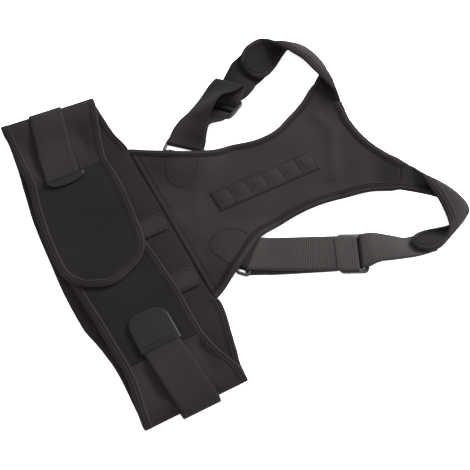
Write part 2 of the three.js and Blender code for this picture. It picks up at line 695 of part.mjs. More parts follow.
// Slide buckle: a flat frame of cells, without those of its two slots, with blunted corners.
function slideBuckle(run, side) {
  const { ahead, left, normal, foot } = webbingFrame(run, side, run.buckle, 0);
  const { across, along, bar, centre_bar, end, thickness, z, blunt } = BUCKLE;
  const [hx, hy] = [along / 2, across / 2];
  const xs = [-hx, bar - hx, -centre_bar / 2, centre_bar / 2, hx - bar, hx];
  const ys = [-hy, end - hy, hy - end, hy];
  const solid = (i, j) => i >= 0 && i < 5 && j >= 0 && j < 3 && !(j === 1 && (i === 1 || i === 3));
  const corner = (i, j, level) => (level * xs.length + i) * ys.length + j;
  const positions = [];
  for (const height of [0, thickness]) {
    xs.forEach((x, i) => ys.forEach((y, j) => {
      const cut = i % 5 === 0 && j % 3 === 0 ? blunt : 0;
      const point = foot.clone().addScaledVector(ahead, x - Math.sign(x) * cut)
        .addScaledVector(left, y - Math.sign(y) * cut).addScaledVector(normal, z + height);
      positions.push(point.x, point.y, point.z);
    }));
  }
  const index = [];
  const quad = (a, b, c, d) => index.push(a, b, c, a, c, d);
  for (let i = 0; i < 5; i++) {
    for (let j = 0; j < 3; j++) {
      if (!solid(i, j)) continue;
      quad(corner(i, j, 1), corner(i + 1, j, 1), corner(i + 1, j + 1, 1), corner(i, j + 1, 1));
      quad(corner(i, j, 0), corner(i, j + 1, 0), corner(i + 1, j + 1, 0), corner(i + 1, j, 0));
      const edge = (a, b) => quad(corner(...a, 0), corner(...b, 0), corner(...b, 1), corner(...a, 1));
      if (!solid(i, j - 1)) edge([i, j], [i + 1, j]);
      if (!solid(i + 1, j)) edge([i + 1, j], [i + 1, j + 1]);
      if (!solid(i, j + 1)) edge([i + 1, j + 1], [i, j + 1]);
      if (!solid(i - 1, j)) edge([i, j + 1], [i, j]);
    }
  }
  const geometry = new THREE.BufferGeometry();
  geometry.setAttribute('position', new THREE.Float32BufferAttribute(positions, 3));
  geometry.setIndex(index);
  return geometry;
}

// Webbing: looped round the buckle's middle bar, back to the ring, round its bar, through the buckle,
// and sewn under the strap's round end.
function webbingBand(run, loop, strap, side) {
  const half = WEBBING_WIDTH / 2;
  const station = (distance, z, upper) => {
    const { left, normal, foot } = webbingFrame(run, side, distance, upper);
    return { centre: foot.addScaledVector(normal, z), across: left.multiplyScalar(half) };
  };
  const stations = [
    ...loop.map(({ along, z, upper }) => station(run.buckle + along, z, upper)),
    ...RING_LOOP.map(({ along, z, upper }) => station(along, z, upper)),
    ...BUCKLE_WEAVE.map(({ along, z }) => station(run.buckle + along, z, 0)),
  ];
  const below = (NEOPRENE + WEBBING) / 2 + 2 * CLEARANCE;
  const tip = strap.length - 1;
  const sewn = [];
  let reach = 0;
  for (let i = tip - 1; i > 0 && reach < WEBBING_SEWN; i--) {
    const { centre, across } = strap[i];
    const along = strap[i + 1].centre.clone().sub(strap[i - 1].centre).normalize();
    const normal = along.clone().cross(across).normalize();
    const inwards = across.clone().normalize().applyAxisAngle(normal, degrees(run.sewn.angle));
    const sew = (at) => sewn.push({
      centre: at.clone().addScaledVector(normal, -below)
        .addScaledVector(inwards, run.sewn.shift * (1 - reach / WEBBING_SEWN)),
      across: inwards.clone().multiplyScalar(-half),
    });
    if (i === tip - 1) sew(centre.clone().addScaledVector(along, WEBBING_STITCH / 2));
    reach += centre.distanceTo(strap[i + 1].centre);
    if (reach > WEBBING_STITCH * (sewn.length - 0.5)) sew(centre);
  }
  const free = stations[stations.length - 1];
  for (const share of [1 / 3, 2 / 3]) {
    stations.push({
      centre: free.centre.clone().lerp(sewn[0].centre, share),
      across: free.across.clone().lerp(sewn[0].across, share).setLength(half),
    });
  }
  return wall(bandGrid(drawOut([...stations, ...sewn], 2), 3), WEBBING);
}

addPiece('back_panel', backPanel(), COLOURS.neoprene, 0.9);
addPiece('belt_back', beltBack(), COLOURS.neoprene, 0.9);
addPiece('magnet_strip', magnetStrip(), COLOURS.neoprene, 0.85);
addPiece('stay_pocket_inner', stayPocket(STAY_INNER_X), COLOURS.neoprene, 0.9);
addPiece('stay_pocket_outer', stayPocket(STAY_OUTER_X), COLOURS.neoprene, 0.9);
addPiece('closure_flap', wingEnd(FLAP, -1), COLOURS.pile, 1);
addPiece('loop_panel', wingEnd(LOOP_PANEL, 1), COLOURS.pile, 1);
const SIDES = [
  {
    name: 'left', side: -1, strap: STRAP_LEFT, wing: WING_LEFT, end: FLAP,
    elastic: ELASTIC_LEFT, tab: TAB_LEFT, webbing: WEBBING_LEFT, loop: LOOP_LOOSE,
  },
  {
    name: 'right', side: 1, strap: STRAP_RIGHT, wing: WING_RIGHT, end: LOOP_PANEL,
    elastic: ELASTIC_RIGHT, tab: TAB_RIGHT, webbing: WEBBING_RIGHT, loop: LOOP_TIGHT,
  },
];
for (const { name, side, strap, wing: way, end, elastic, tab, webbing, loop } of SIDES) {
  const rows = strapRows(strap, side);
  addPiece(`shoulder_strap_${name}`, wall(bandGrid(rows, 5), NEOPRENE), COLOURS.neoprene, 0.9);
  addPiece(`side_wing_${name}`, wing(way, side), COLOURS.neoprene, 0.9);
  addPiece(`pull_strap_${name}`, pullStrap(way, elastic, side), COLOURS.elastic, 0.85);
  addPiece(`pull_tab_${name}`, pullTab(end, elastic, tab, side), COLOURS.leatherette, 0.6);
  addPiece(`ring_${name}`, wireRing(side), COLOURS.wire, 0.4, 0.6);
  addPiece(`ring_tab_${name}`, ringTab(side), COLOURS.webbing, 0.9);
  addPiece(`slide_buckle_${name}`, slideBuckle(webbing, side), COLOURS.plastic, 0.45);
  addPiece(`webbing_${name}`, webbingBand(webbing, loop, rows, side), COLOURS.webbing, 0.85);
}

export default group;
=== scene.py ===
import itertools
import math

import bpy
import numpy as np
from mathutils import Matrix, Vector


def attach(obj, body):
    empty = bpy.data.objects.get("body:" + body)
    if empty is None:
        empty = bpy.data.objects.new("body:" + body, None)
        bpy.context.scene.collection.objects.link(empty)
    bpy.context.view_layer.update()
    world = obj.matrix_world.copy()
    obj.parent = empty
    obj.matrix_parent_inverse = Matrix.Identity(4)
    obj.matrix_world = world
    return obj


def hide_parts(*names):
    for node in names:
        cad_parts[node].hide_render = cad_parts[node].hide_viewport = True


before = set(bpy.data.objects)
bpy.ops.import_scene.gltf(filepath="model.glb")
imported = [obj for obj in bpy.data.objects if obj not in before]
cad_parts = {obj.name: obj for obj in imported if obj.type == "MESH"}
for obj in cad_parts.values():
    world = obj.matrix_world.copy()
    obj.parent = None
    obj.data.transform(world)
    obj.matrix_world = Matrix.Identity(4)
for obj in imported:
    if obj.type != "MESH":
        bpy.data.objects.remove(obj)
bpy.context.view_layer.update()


# Back panel: the padded plate between the shoulders, knit-faced neoprene foam cut in one piece.
# It lies on its outer face, rides over the two strap rings, and rises to the neck beyond a soft crease.
def table(columns, *rows):
    """Rows of a small table as dictionaries, with a name for each column."""
    return [dict(zip(columns.split(), row)) for row in rows]


NEOPRENE = 0.003
ARMHOLE = table(
    "y left right",
    (-0.0508, 0.101, 0.102), (-0.016, 0.075, 0.084), (0.019, 0.0582, 0.0632), (0.048, 0.0556, 0.0565),
    (0.075, 0.05, 0.0535), (0.1, 0.052, 0.0545), (0.122, 0.0618, 0.0595), (0.145, 0.0723, 0.067),
    (0.168, 0.085, 0.08),
)
NECK = table(
    "x y",
    (-0.048, 0.181), (-0.028, 0.1773), (-0.004, 0.1762), (0.018, 0.1782), (0.037, 0.1835), (0.053, 0.1897),
)
CREASE = table(
    "x y",
    (-0.079, 0.126), (-0.048, 0.148), (-0.022, 0.152), (0.035, 0.122), (0.079, 0.108),
)
NECK_SLOPE = 0.17
CREASE_SOFTNESS = 0.005
CREASE_END = 6
RINGS = {"left": (-0.0757, 0.0051), "right": (0.08, 0.004)}
RING_LIFT = 0.0065
RING_LIFT_REACH = 0.036
RING_LIFT_END = 1.6
RING_INSET = 0.007


def cubic(a, b, c, d, t):
    """Smooth value between b and c at share t, with a and d as their neighbours."""
    return 0.5 * (2 * b + (c - a) * t + (2 * a - 5 * b + 4 * c - d) * t * t + (3 * b - a - 3 * c + d) * t**3)


def look_up(rows, by, key, value):
    """Value of one column where another column, rising or falling, has the given value."""
    last = len(rows) - 1
    sign = 1 if rows[last][by] > rows[0][by] else -1
    past = [k for k, row in enumerate(rows) if sign * row[by] > sign * value]
    i = min(max((past[0] if past else last) - 1, 0), last - 1)
    t = (value - rows[i][by]) / (rows[i + 1][by] - rows[i][by])
    near = [rows[min(max(i + k, 0), last)][key] for k in (-1, 0, 1, 2)]
    return cubic(*near, min(max(t, 0), 1))


def panel_rise(x, y):
    """Height of the panel's underside over the surface."""
    beyond = (y - look_up(CREASE, "x", "y", x)) / CREASE_SOFTNESS
    neck = NECK_SLOPE * CREASE_SOFTNESS * math.log1p(math.exp(beyond)) if beyond > -CREASE_END else 0
    ring_x, ring_y = RINGS["left" if x < 0 else "right"]
    inwards = math.copysign(1, ring_x) * (ring_x - x) - RING_INSET
    to_ring = math.hypot(inwards, ring_y - y - RING_INSET) / RING_LIFT_REACH
    return neck + (RING_LIFT * math.exp(-(to_ring**4)) if to_ring < RING_LIFT_END else 0)


def on_panel(x, y, above=0.0):
    """A point over the panel's inner face."""
    return np.array([x, y, panel_rise(x, y) + NEOPRENE + above])


def unit(vectors):
    """Vectors at length one."""
    return vectors / np.maximum(np.linalg.norm(vectors, axis=-1, keepdims=True), 1e-9)


def arm_end(side):
    """Corners of an arm at the armhole and at the neck, and the way out across the seam between them."""
    top, corner = ARMHOLE[-1], NECK[0 if side < 0 else -1]
    armhole = np.array([side * top["left" if side < 0 else "right"], top["y"]])
    neck = np.array([corner["x"], corner["y"]])
    along = unit(neck - armhole)
    return armhole, neck, np.array([side * along[1], -side * along[0]])


PANEL_ROWS = 96
ARM_COLUMNS = 9
NECK_COLUMNS = 40
RIM_ROUND = 0.3


def panel_grid():
    """Middle surface of the panel: rows from the belt to the neck, columns from right to left."""
    (left_arm, left_neck, _), (right_arm, right_neck, _) = arm_end(-1), arm_end(1)
    top = [left_arm + (left_neck - left_arm) * j / ARM_COLUMNS for j in range(ARM_COLUMNS)]
    for x in np.linspace(NECK[0]["x"], NECK[-1]["x"], NECK_COLUMNS + 1):
        top.append(np.array([x, look_up(NECK, "x", "y", x)]))
    top += [right_neck + (right_arm - right_neck) * j / ARM_COLUMNS for j in range(1, ARM_COLUMNS + 1)]
    foot, head = ARMHOLE[0], ARMHOLE[-1]
    grid = []
    for v in np.linspace(0, 1, PANEL_ROWS + 1):
        y = foot["y"] + (head["y"] - foot["y"]) * v
        pull = {e: look_up(ARMHOLE, "y", e, y) - foot[e] - (head[e] - foot[e]) * v for e in ("left", "right")}
        row = []
        for u, point in zip(np.linspace(0, 1, len(top)), top):
            x = (1 - v) * (u * foot["right"] - (1 - u) * foot["left"]) + v * point[0]
            x += u * pull["right"] - (1 - u) * pull["left"]
            y_here = (1 - v) * foot["y"] + v * point[1]
            row.append(on_panel(x, y_here, -NEOPRENE / 2))
        grid.append(row[::-1])
    return np.array(grid)


def face_normals(grid):
    """Normals of a cloth grid, on the side of its upper face."""
    return unit(np.cross(np.gradient(grid, axis=0), np.gradient(grid, axis=1)))


def build(name, points, faces, uvs=None, edges=()):
    """A mesh object from points, faces and a pair of cloth coordinates in metres for each point."""
    mesh = bpy.data.meshes.new(name)
    mesh.from_pydata(np.asarray(points).tolist(), list(edges), [list(map(int, face)) for face in faces])
    if uvs is not None:
        corner = np.zeros(len(mesh.loops), np.int32)
        mesh.loops.foreach_get("vertex_index", corner)
        mesh.uv_layers.new(name="cloth").data.foreach_set("uv", np.asarray(uvs, np.float32)[corner].ravel())
    mesh.polygons.foreach_set("use_smooth", [True] * len(mesh.polygons))
    mesh.update()
    piece = bpy.data.objects.new(name, mesh)
    bpy.context.scene.collection.objects.link(piece)
    return piece


def cloth_coordinates(grid):
    """Way along and across each point of a cloth grid."""
    along = np.linalg.norm(np.diff(grid, axis=0, prepend=grid[:1]), axis=2).mean(1).cumsum()
    across = np.linalg.norm(np.diff(grid, axis=1, prepend=grid[:, :1]), axis=2).cumsum(1)
    return np.stack([np.broadcast_to(along[:, None], across.shape), across], axis=2)


def cloth_wall(name, grid, thickness, swell=0.0, painted_light_share=0.0):
    """Closed cloth about a grid of points, with a rounded rim; swell raises its upper face.

    Its faces are upper and lower in turn, then those of the rim. The painted light share is how far
    each point takes the painted tones of its material, painted shade or painted light.
    """
    rows, columns = grid.shape[:2]
    normal = face_normals(grid)
    half = thickness / 2
    upper = grid + normal * (half + np.broadcast_to(swell, (rows, columns)))[..., None]
    lower = grid - normal * half
    rim = [(i, 0) for i in range(rows - 1)] + [(rows - 1, j) for j in range(columns - 1)]
    rim += [(i, columns - 1) for i in range(rows - 1, 0, -1)] + [(0, j) for j in range(columns - 1, 0, -1)]
    inner = [grid[min(max(i, 1), rows - 2), min(max(j, 1), columns - 2)] for i, j in rim]
    edge = np.array([grid[i, j] for i, j in rim])
    bead = edge + unit(edge - np.array(inner)) * half * RIM_ROUND
    points = np.concatenate([upper.reshape(-1, 3), lower.reshape(-1, 3), bead])
    points[:, 2] = np.maximum(points[:, 2], 0)
    size = rows * columns
    faces = []
    for i in range(rows - 1):
        for j in range(columns - 1):
            a, b = i * columns + j, (i + 1) * columns + j
            faces += [(a, b, b + 1, a + 1), (size + a + 1, size + b + 1, size + b, size + a)]
    for k, (i, j) in enumerate(rim):
        m, n = rim[(k + 1) % len(rim)]
        a, b = i * columns + j, m * columns + n
        p, q = 2 * size + k, 2 * size + (k + 1) % len(rim)
        faces += [(a, p, q, b), (p, size + a, size + b, q)]
    at_rim = [i * columns + j for i, j in rim]
    flat = cloth_coordinates(grid).reshape(-1, 2)
    piece = build(name, points, faces, np.concatenate([flat, flat, flat[at_rim]]))
    painted_light_shares = np.broadcast_to(painted_light_share, (rows, columns)).ravel()
    shares = np.concatenate([painted_light_shares, painted_light_shares, painted_light_shares[at_rim]]).astype(np.float32)
    piece.data.attributes.new("painted_light_share", "FLOAT", "POINT").data.foreach_set("value", shares)
    return piece


def before_rim(grid):
    """How many faces of a cloth come before those of its rim."""
    return 2 * (grid.shape[0] - 1) * (grid.shape[1] - 1)


def crisp_rim(cloth, grid):
    """Shades the rim of a cloth apart from its faces, so that they run on across a butted seam."""
    smooth = np.ones(len(cloth.data.polygons), bool)
    smooth[before_rim(grid) :] = False
    cloth.data.polygons.foreach_set("use_smooth", smooth)


def feed(tree, node, sockets):
    """Sets the inputs of a node to values, or links them to the outputs that feed them."""
    for key, value in dict(sockets).items():
        if isinstance(value, bpy.types.NodeSocket):
            tree.links.new(value, node.inputs[key])
        else:
            node.inputs[key].default_value = value


def put(tree, kind, sockets=(), **settings):
    """A new node with its settings and inputs."""
    node = tree.nodes.new(kind)
    for key, value in settings.items():
        setattr(node, key, value)
    feed(tree, node, sockets)
    return node


def sums(tree, operation, a, b=0.0):
    """Output of a math node."""
    return put(tree, "ShaderNodeMath", {0: a, 1: b}, operation=operation).outputs[0]


def mixed(tree, share, first, second):
    """Output of a mix of two colours."""
    return put(tree, "ShaderNodeMix", {0: share, 6: first, 7: second}, data_type="RGBA").outputs[2]


def group(name, kind, inputs, outputs):
    """An empty node group with its two end nodes; inputs and outputs map names to sorts of socket."""
    tree = bpy.data.node_groups.new(name, kind)
    for way, sockets in (("INPUT", inputs), ("OUTPUT", outputs)):
        for socket, sort in sockets.items():
            tree.interface.new_socket(socket, in_out=way, socket_type="NodeSocket" + sort)
    return tree, tree.nodes.new("NodeGroupInput"), tree.nodes.new("NodeGroupOutput")


def tone_group():
    """Cloth colour that drifts over the piece in patches, with fine lint."""
    tree, given, made = group(
        "cloth_tone", "ShaderNodeTree",
        {"Vector": "Vector", "Colour": "Color", "Shade": "Color", "Patches": "Float", "Lint": "Float"},
        {"Colour": "Color", "Lint": "Float"},
    )
    patches, lint = (
        put(tree, "ShaderNodeTexNoise", {"Vector": given.outputs["Vector"], "Scale": given.outputs[scale],
                                         "Detail": detail}).outputs["Fac"]
        for scale, detail in (("Patches", 3.0), ("Lint", 2.0))
    )
    patch_weight, lint_weight, darkest, lightest = 1.3, 0.7, 0.65, 1.35
    share = sums(tree, "ADD", sums(tree, "MULTIPLY", patches, patch_weight),
                 sums(tree, "MULTIPLY", lint, lint_weight))
    fade = put(tree, "ShaderNodeMapRange", {"Value": share, "From Min": darkest, "From Max": lightest})
    colour = mixed(tree, fade.outputs[0], given.outputs["Shade"], given.outputs["Colour"])
    feed(tree, made, {"Colour": colour, "Lint": lint})
    return tree


def weave_group():
    """Height of threads that cross: ribs along the cloth, floats across it, and a slant for twill."""
    tree, given, made = group(
        "thread_weave", "ShaderNodeTree",
        {"Vector": "Vector", "Rib": "Float", "Float": "Float", "Slant": "Float"}, {"Height": "Float"},
    )
    float_depth = 0.35
    way = put(tree, "ShaderNodeSeparateXYZ", {0: given.outputs["Vector"]})
    slid = sums(tree, "ADD", way.outputs[0], sums(tree, "MULTIPLY", way.outputs[1], given.outputs["Slant"]))
    waves = []
    for distance, pitch in ((slid, "Rib"), (way.outputs[1], "Float")):
        turn = sums(tree, "MULTIPLY", sums(tree, "DIVIDE", distance, given.outputs[pitch]), math.pi)
        waves.append(sums(tree, "ABSOLUTE", sums(tree, "SINE", turn)))
    floats = sums(tree, "ADD", sums(tree, "MULTIPLY", waves[1], float_depth), 1 - float_depth)
    feed(tree, made, {"Height": sums(tree, "MULTIPLY", waves[0], floats)})
    return tree


CLOTH_TONE = tone_group()
THREAD_WEAVE = weave_group()


def srgb(*levels):
    """Linear colour from the usual red, green and blue levels of 0 to 255."""
    return *(((c / 255 + 0.055) / 1.055) ** 2.4 if c > 10 else c / 3294.6 for c in levels), 1.0


# Weave grooves are darkened in colour below the groove top: painted shade.
GROOVE_PAINTED_SHADE = srgb(14, 13, 13)
GROOVE_TOP = 0.6
LINT_HEIGHT = 0.8
THREAD_HEIGHT = 0.0004
SHEEN_ROUGH = 0.45


def new_material(name):
    """A material with its node tree and its main shader."""
    material = bpy.data.materials.new(name)
    material.use_nodes = True
    return material, material.node_tree, material.node_tree.nodes["Principled BSDF"]


def cloth_material(name, colour, shade, weave, bump=0.35, groove_shade=0.0, patches=22.0, lint=900.0, rough=0.9,
                   sheen=0.0, specular=0.08, painted_tones=()):
    """Cloth: drifting colour, lint and a weave of rib, float and slant, with painted shade in its grooves.

    Painted tones are a colour and shade of painted shade or painted light, which it fades to by the piece's
    painted light share.
    """
    material, tree, shader = new_material(name)
    # Painted shade or painted light: the piece's share fades its colour and shade to the painted tones.
    if painted_tones:
        painted_light_share = put(tree, "ShaderNodeAttribute", attribute_name="painted_light_share").outputs["Fac"]
        colour, shade = (mixed(tree, painted_light_share, *pair) for pair in zip((colour, shade), painted_tones))
    place = put(tree, "ShaderNodeTexCoord").outputs["Object"]
    tone = put(tree, "ShaderNodeGroup", node_tree=CLOTH_TONE, sockets={
        "Vector": place, "Colour": colour, "Shade": shade, "Patches": patches, "Lint": lint})
    flat = put(tree, "ShaderNodeUVMap", uv_map="cloth").outputs[0]
    threads = put(tree, "ShaderNodeGroup", node_tree=THREAD_WEAVE, sockets={
        "Vector": flat, "Rib": weave[0], "Float": weave[1], "Slant": weave[2]})
    height = threads.outputs["Height"]
    dark = put(tree, "ShaderNodeMapRange",
               {"Value": height, "From Max": GROOVE_TOP, "To Min": groove_shade, "To Max": 0.0})
    relief = sums(tree, "ADD", height, sums(tree, "MULTIPLY", tone.outputs["Lint"], LINT_HEIGHT))
    lift = put(tree, "ShaderNodeBump", {"Height": relief, "Strength": bump, "Distance": THREAD_HEIGHT})
    feed(tree, shader, {
        "Base Color": mixed(tree, dark.outputs[0], tone.outputs["Colour"], GROOVE_PAINTED_SHADE),
        "Normal": lift.outputs[0], "Roughness": rough, "Specular IOR Level": specular,
        "Sheen Weight": sheen, "Sheen Roughness": SHEEN_ROUGH,
    })
    return material


def fit(piece, material, slot, *nodes):
    """Gives a piece its material, and puts it in the place of CAD nodes; its finish slot is not used."""
    piece.data.materials.append(material)
    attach(piece, "root")
    if nodes:
        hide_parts(*nodes)
    return piece


RIDGES = table(
    "x y to_x to_y height reach",
    (-0.053, 0.144, -0.048, 0.149, 0.0007, 0.006),
    (-0.048, 0.149, -0.022, 0.153, 0.0016, 0.007),
    (-0.022, 0.153, -0.01, 0.146, 0.0018, 0.007),
    (-0.01, 0.146, 0.032, 0.1235, 0.0017, 0.007),
    (0.035, 0.122, 0.04, 0.12, 0.0007, 0.006),
    (-0.026, -0.009, 0.022, -0.027, 0.0007, 0.005),
    (-0.004, -0.044, 0.034, -0.031, 0.0006, 0.005),
)


def ridge_height(points):
    """Height of the soft ridges on the panel's inner face."""
    height = np.zeros(points.shape[:-1])
    for r in RIDGES:
        start, way = np.array([r["x"], r["y"]]), np.array([r["to_x"] - r["x"], r["to_y"] - r["y"]])
        share = np.clip((points[..., :2] - start) @ way / (way @ way), 0, 1)
        off = np.linalg.norm(points[..., :2] - start - share[..., None] * way, axis=-1)
        height = np.maximum(height, r["height"] * np.exp(-((off / r["reach"]) ** 2)))
    return height


SIDES = {"left": -1, "right": 1}
ARM_PAINTED_SHADE_FADE = {"left": (-0.02, 0.0), "right": (-0.034, -0.012)}


def ease(value, low, high):
    """Share from 0 at low to 1 at high, with soft ends."""
    t = np.clip((value - low) / (high - low), 0, 1)
    return t * t * (3 - 2 * t)


def arm_painted_shade(points):
    """How far the panel takes painted shade towards the seams of its arms."""
    painted_light_share = np.zeros(points.shape[:-1])
    for name, side in SIDES.items():
        armhole, _, outwards = arm_end(side)
        painted_light_share = np.maximum(painted_light_share, ease((points[..., :2] - armhole) @ outwards, *ARM_PAINTED_SHADE_FADE[name]))
    return painted_light_share


KNIT_TONES = srgb(33, 29, 29), srgb(25, 21, 21)
# These darker tones are painted shade: the panel fades to them towards its arm seams, and the straps' inner
# faces carry them.
PAINTED_SHADE_TONES = srgb(19, 17, 18), srgb(14, 12, 13)
KNIT = (0.0011, 0.0014, 0.0)
knit_neoprene = cloth_material("knit_neoprene", *KNIT_TONES, KNIT)
panel_knit_painted_shade = cloth_material("panel_knit_painted_shade", *KNIT_TONES, KNIT, painted_tones=PAINTED_SHADE_TONES)
panel = panel_grid()
panel_cloth = cloth_wall("panel_cloth", panel, NEOPRENE, ridge_height(panel), arm_painted_shade(panel))
crisp_rim(panel_cloth, panel)
fit(panel_cloth, panel_knit_painted_shade, "neoprene", "back_panel")


# Shoulder straps: bands of the same neoprene sewn to the arms of the panel.
# Each turns over its arm like a collar, comes back to the outside and ends in a rounded, stitched tip.
STRAP_WIDTH = 0.042
STRAP_STEP = 0.0022
STRAP_TURNS = range(0, 86, 5)
STRAP_COLUMNS = 19
ARM_SEAM = 0.00015
ARM_LEAD = 0.0035
STRAPS = {
    "right": table(
        "ax ay az nx ny nz bulge",
        (0.1002, 0.1952, 0.009, 0.065, 0.1935, 0.016, 0.001),
        (0.117, 0.2145, 0.004, 0.0795, 0.195, 0.019, 0.005),
        (0.126, 0.2205, 0.004, 0.0985, 0.193, 0.021, 0.0075),
        (0.131, 0.219, 0.004, 0.1205, 0.1898, 0.022, 0.007),
        (0.134, 0.2145, 0.004, 0.139, 0.1843, 0.023, 0.005),
        (0.137, 0.2045, 0.004, 0.151, 0.1765, 0.026, 0.003),
        (0.1372, 0.1902, 0.004, 0.159, 0.1655, 0.027, 0.001),
        (0.1317, 0.1682, 0.004, 0.162, 0.153, 0.026, 0),
        (0.1262, 0.1478, 0.004, 0.157, 0.136, 0.023, 0),
    ),
    "left": table(
        "ax ay az nx ny nz bulge",
        (-0.102, 0.187, 0.008, -0.06, 0.18, 0.015, 0.003),
        (-0.118, 0.192, 0.004, -0.076, 0.177, 0.018, 0.005),
        (-0.133, 0.192, 0.004, -0.096, 0.173, 0.021, 0.005),
        (-0.146, 0.188, 0.004, -0.115, 0.17, 0.022, 0.0045),
        (-0.153, 0.18, 0.004, -0.131, 0.163, 0.023, 0.005),
        (-0.15, 0.17, 0.004, -0.146, 0.156, 0.023, 0.006),
        (-0.142, 0.158, 0.0045, -0.158, 0.149, 0.023, 0.005),
        (-0.133, 0.146, 0.005, -0.164, 0.14, 0.0225, 0.001),
        (-0.125, 0.131, 0.005, -0.164, 0.127, 0.0195, 0),
        (-0.121, 0.111, 0.005, -0.16, 0.107, 0.0165, 0),
    ),
}
# Where the right collar overhangs its strap's inner face, that face takes lighter tones: painted light in the
# collar's shade.
COLLAR_PAINTED_LIGHT = table("along left right", (0.012, 0, 0), (0.024, 0, 1), (0.05, 0, 1), (0.065, 0, 0))


def draw_out(stations, steps=6):
    """Rows drawn smoothly through stations, each a centre, a half-width vector and a bulge."""
    last = len(stations) - 1
    rows = []
    for i in range(last):
        near = [stations[min(max(i + k, 0), last)] for k in (-1, 0, 1, 2)]
        rows += [[cubic(*(s[part] for s in near), k / steps) for part in range(3)] for k in range(steps)]
    return rows + [list(stations[last])]


def round_end(rows, spacing, radius, turns, narrow=1.0):
    """The same rows at an even spacing, narrowed by a share to a round end at the given turns in degrees."""
    steps = [np.linalg.norm(b[0] - a[0]) for a, b in zip(rows, rows[1:])]
    ways = np.concatenate([[0], np.cumsum(steps)])
    total = ways[-1]

    def at(way, scale):
        i = min(max(int(np.searchsorted(ways, way, side="right")) - 1, 0), len(rows) - 2)
        t = (way - ways[i]) / (ways[i + 1] - ways[i])
        centre, across, bulge = (a + (b - a) * t for a, b in zip(rows[i], rows[i + 1]))
        return [centre, across * scale, bulge]

    straight = math.ceil((total - radius) / spacing)
    result = [at((total - radius) * k / straight, 1) for k in range(straight)]
    for turn in np.radians(turns):
        result.append(at(total - radius + radius * math.sin(turn), 1 - narrow * (1 - math.cos(turn))))
    return result


def steps_of(rows):
    """Way from the row before each row of a band to the row after it."""
    centres = np.array([row[0] for row in rows])
    return np.concatenate([centres[1:], centres[-1:]]) - np.concatenate([centres[:1], centres[:-1]])


def band_grid(rows, columns):
    """Points across each row of a band, bulged towards its lower face."""
    centres, acrosses, bulges = (np.array(part) for part in zip(*rows))
    normal = unit(np.cross(steps_of(rows), acrosses))
    shares = np.linspace(-1, 1, columns)
    sag = bulges[:, None] * (1 - shares**2)
    return centres[:, None] + acrosses[:, None] * shares[:, None] - normal[:, None] * sag[..., None]


def strap_rows(name, spacing, turns):
    """Rows of a shoulder strap, in line with the panel at first; a and n are its armhole and neck edges."""
    side = SIDES[name]
    armhole, neck, outwards = arm_end(side)

    def ruling(on_armhole, on_neck, bulge):
        return [(on_armhole + on_neck) / 2, (on_neck - on_armhole) / 2 * side, bulge]

    rulings = [[np.array([row[edge + axis] for axis in "xyz"]) for edge in "an"] + [row["bulge"]]
               for row in STRAPS[name]]
    stations = []
    for distance in (0, ARM_LEAD):
        places = [corner + outwards * ARM_SEAM + unit(edge[:2] - corner) * distance
                  for corner, edge in zip((armhole, neck), rulings[0])]
        stations.append(ruling(*(on_panel(*place, -NEOPRENE / 2) for place in places), 0.0))
    stations += [ruling(*row) for row in rulings]
    return round_end(draw_out(stations), spacing, STRAP_WIDTH / 2, turns)


def column(rows, key):
    """One column of a table."""
    return [row[key] for row in rows]


# The straps' inner faces are darker than their knit, which is painted shade, and lighter under the right
# collar, which is painted light.
strap_painted_shade_and_light = cloth_material("strap_painted_shade_and_light", *PAINTED_SHADE_TONES, KNIT,
                              painted_tones=(srgb(40, 38, 42), srgb(33, 31, 35)))
straps = {}
for name in SIDES:
    straps[name] = band_grid(strap_rows(name, STRAP_STEP, STRAP_TURNS), STRAP_COLUMNS)
    along = cloth_coordinates(straps[name])[..., 0]
    painted_light_share = np.interp(along, column(COLLAR_PAINTED_LIGHT, "along"), column(COLLAR_PAINTED_LIGHT, name))
    cloth = cloth_wall(f"strap_cloth_{name}", straps[name], NEOPRENE, painted_light_share=painted_light_share)
    crisp_rim(cloth, straps[name])
    fit(cloth, knit_neoprene, "neoprene", f"shoulder_strap_{name}")
    cloth.data.materials.append(strap_painted_shade_and_light)
    # The inner faces take the painted shade and light.
    painted_shade_faces = np.zeros(len(cloth.data.polygons), np.int32)
    painted_shade_faces[: before_rim(straps[name]) : 2] = 1
    cloth.data.polygons.foreach_set("material_index", painted_shade_faces)


# Waist belt, back section: neoprene sewn to the foot of the panel, the widest part of the belt.
# It lies flat in the middle and climbs at both sides over the elastic sewn beneath it.
ELASTIC = 0.0016
CLEARANCE = 0.0003
SEAM_Y = -0.051
STEP_START = 0.092
STEP_END = 0.11
BELT = table(
    "x low high",
    (-0.1677, -0.16, -0.058), (-0.126, -0.163, -0.056), (-0.104, -0.166, -0.0512),
    (-0.06, -0.171, -0.0512), (0, -0.173, -0.0512), (0.032, -0.1735, -0.0512), (0.075, -0.171, -0.0512),
    (0.1, -0.165, -0.0512), (0.105, -0.164, -0.0478), (0.119, -0.1615, -0.0488),
    (0.137, -0.16, -0.0528), (0.16, -0.16, -0.0578), (0.1727, -0.16, -0.061),
)
BELT_ROWS = 140
BELT_COLUMNS = 41
belt = []
for x in np.linspace(BELT[0]["x"], BELT[-1]["x"], BELT_ROWS + 1):
    low = look_up(BELT, "x", "low", x)
    high = look_up(BELT, "x", "high", x)
    high = high if x > ARMHOLE[0]["right"] else min(high, SEAM_Y - CLEARANCE / 2)
    z = (ELASTIC + CLEARANCE) * ease(abs(x), STEP_START, STEP_END) + NEOPRENE / 2
    belt.append([(x, y, z) for y in np.linspace(low, high, BELT_COLUMNS)])
belt = np.array(belt)
# The back section's cloth is darker than the wings': painted shade where the raised wings shade it.
belt_painted_shade = cloth_material("belt_painted_shade", srgb(27, 23, 23), srgb(20, 17, 17), KNIT)
belt_cloth = fit(cloth_wall("belt_cloth", belt, NEOPRENE), belt_painted_shade, "neoprene", "belt_back")


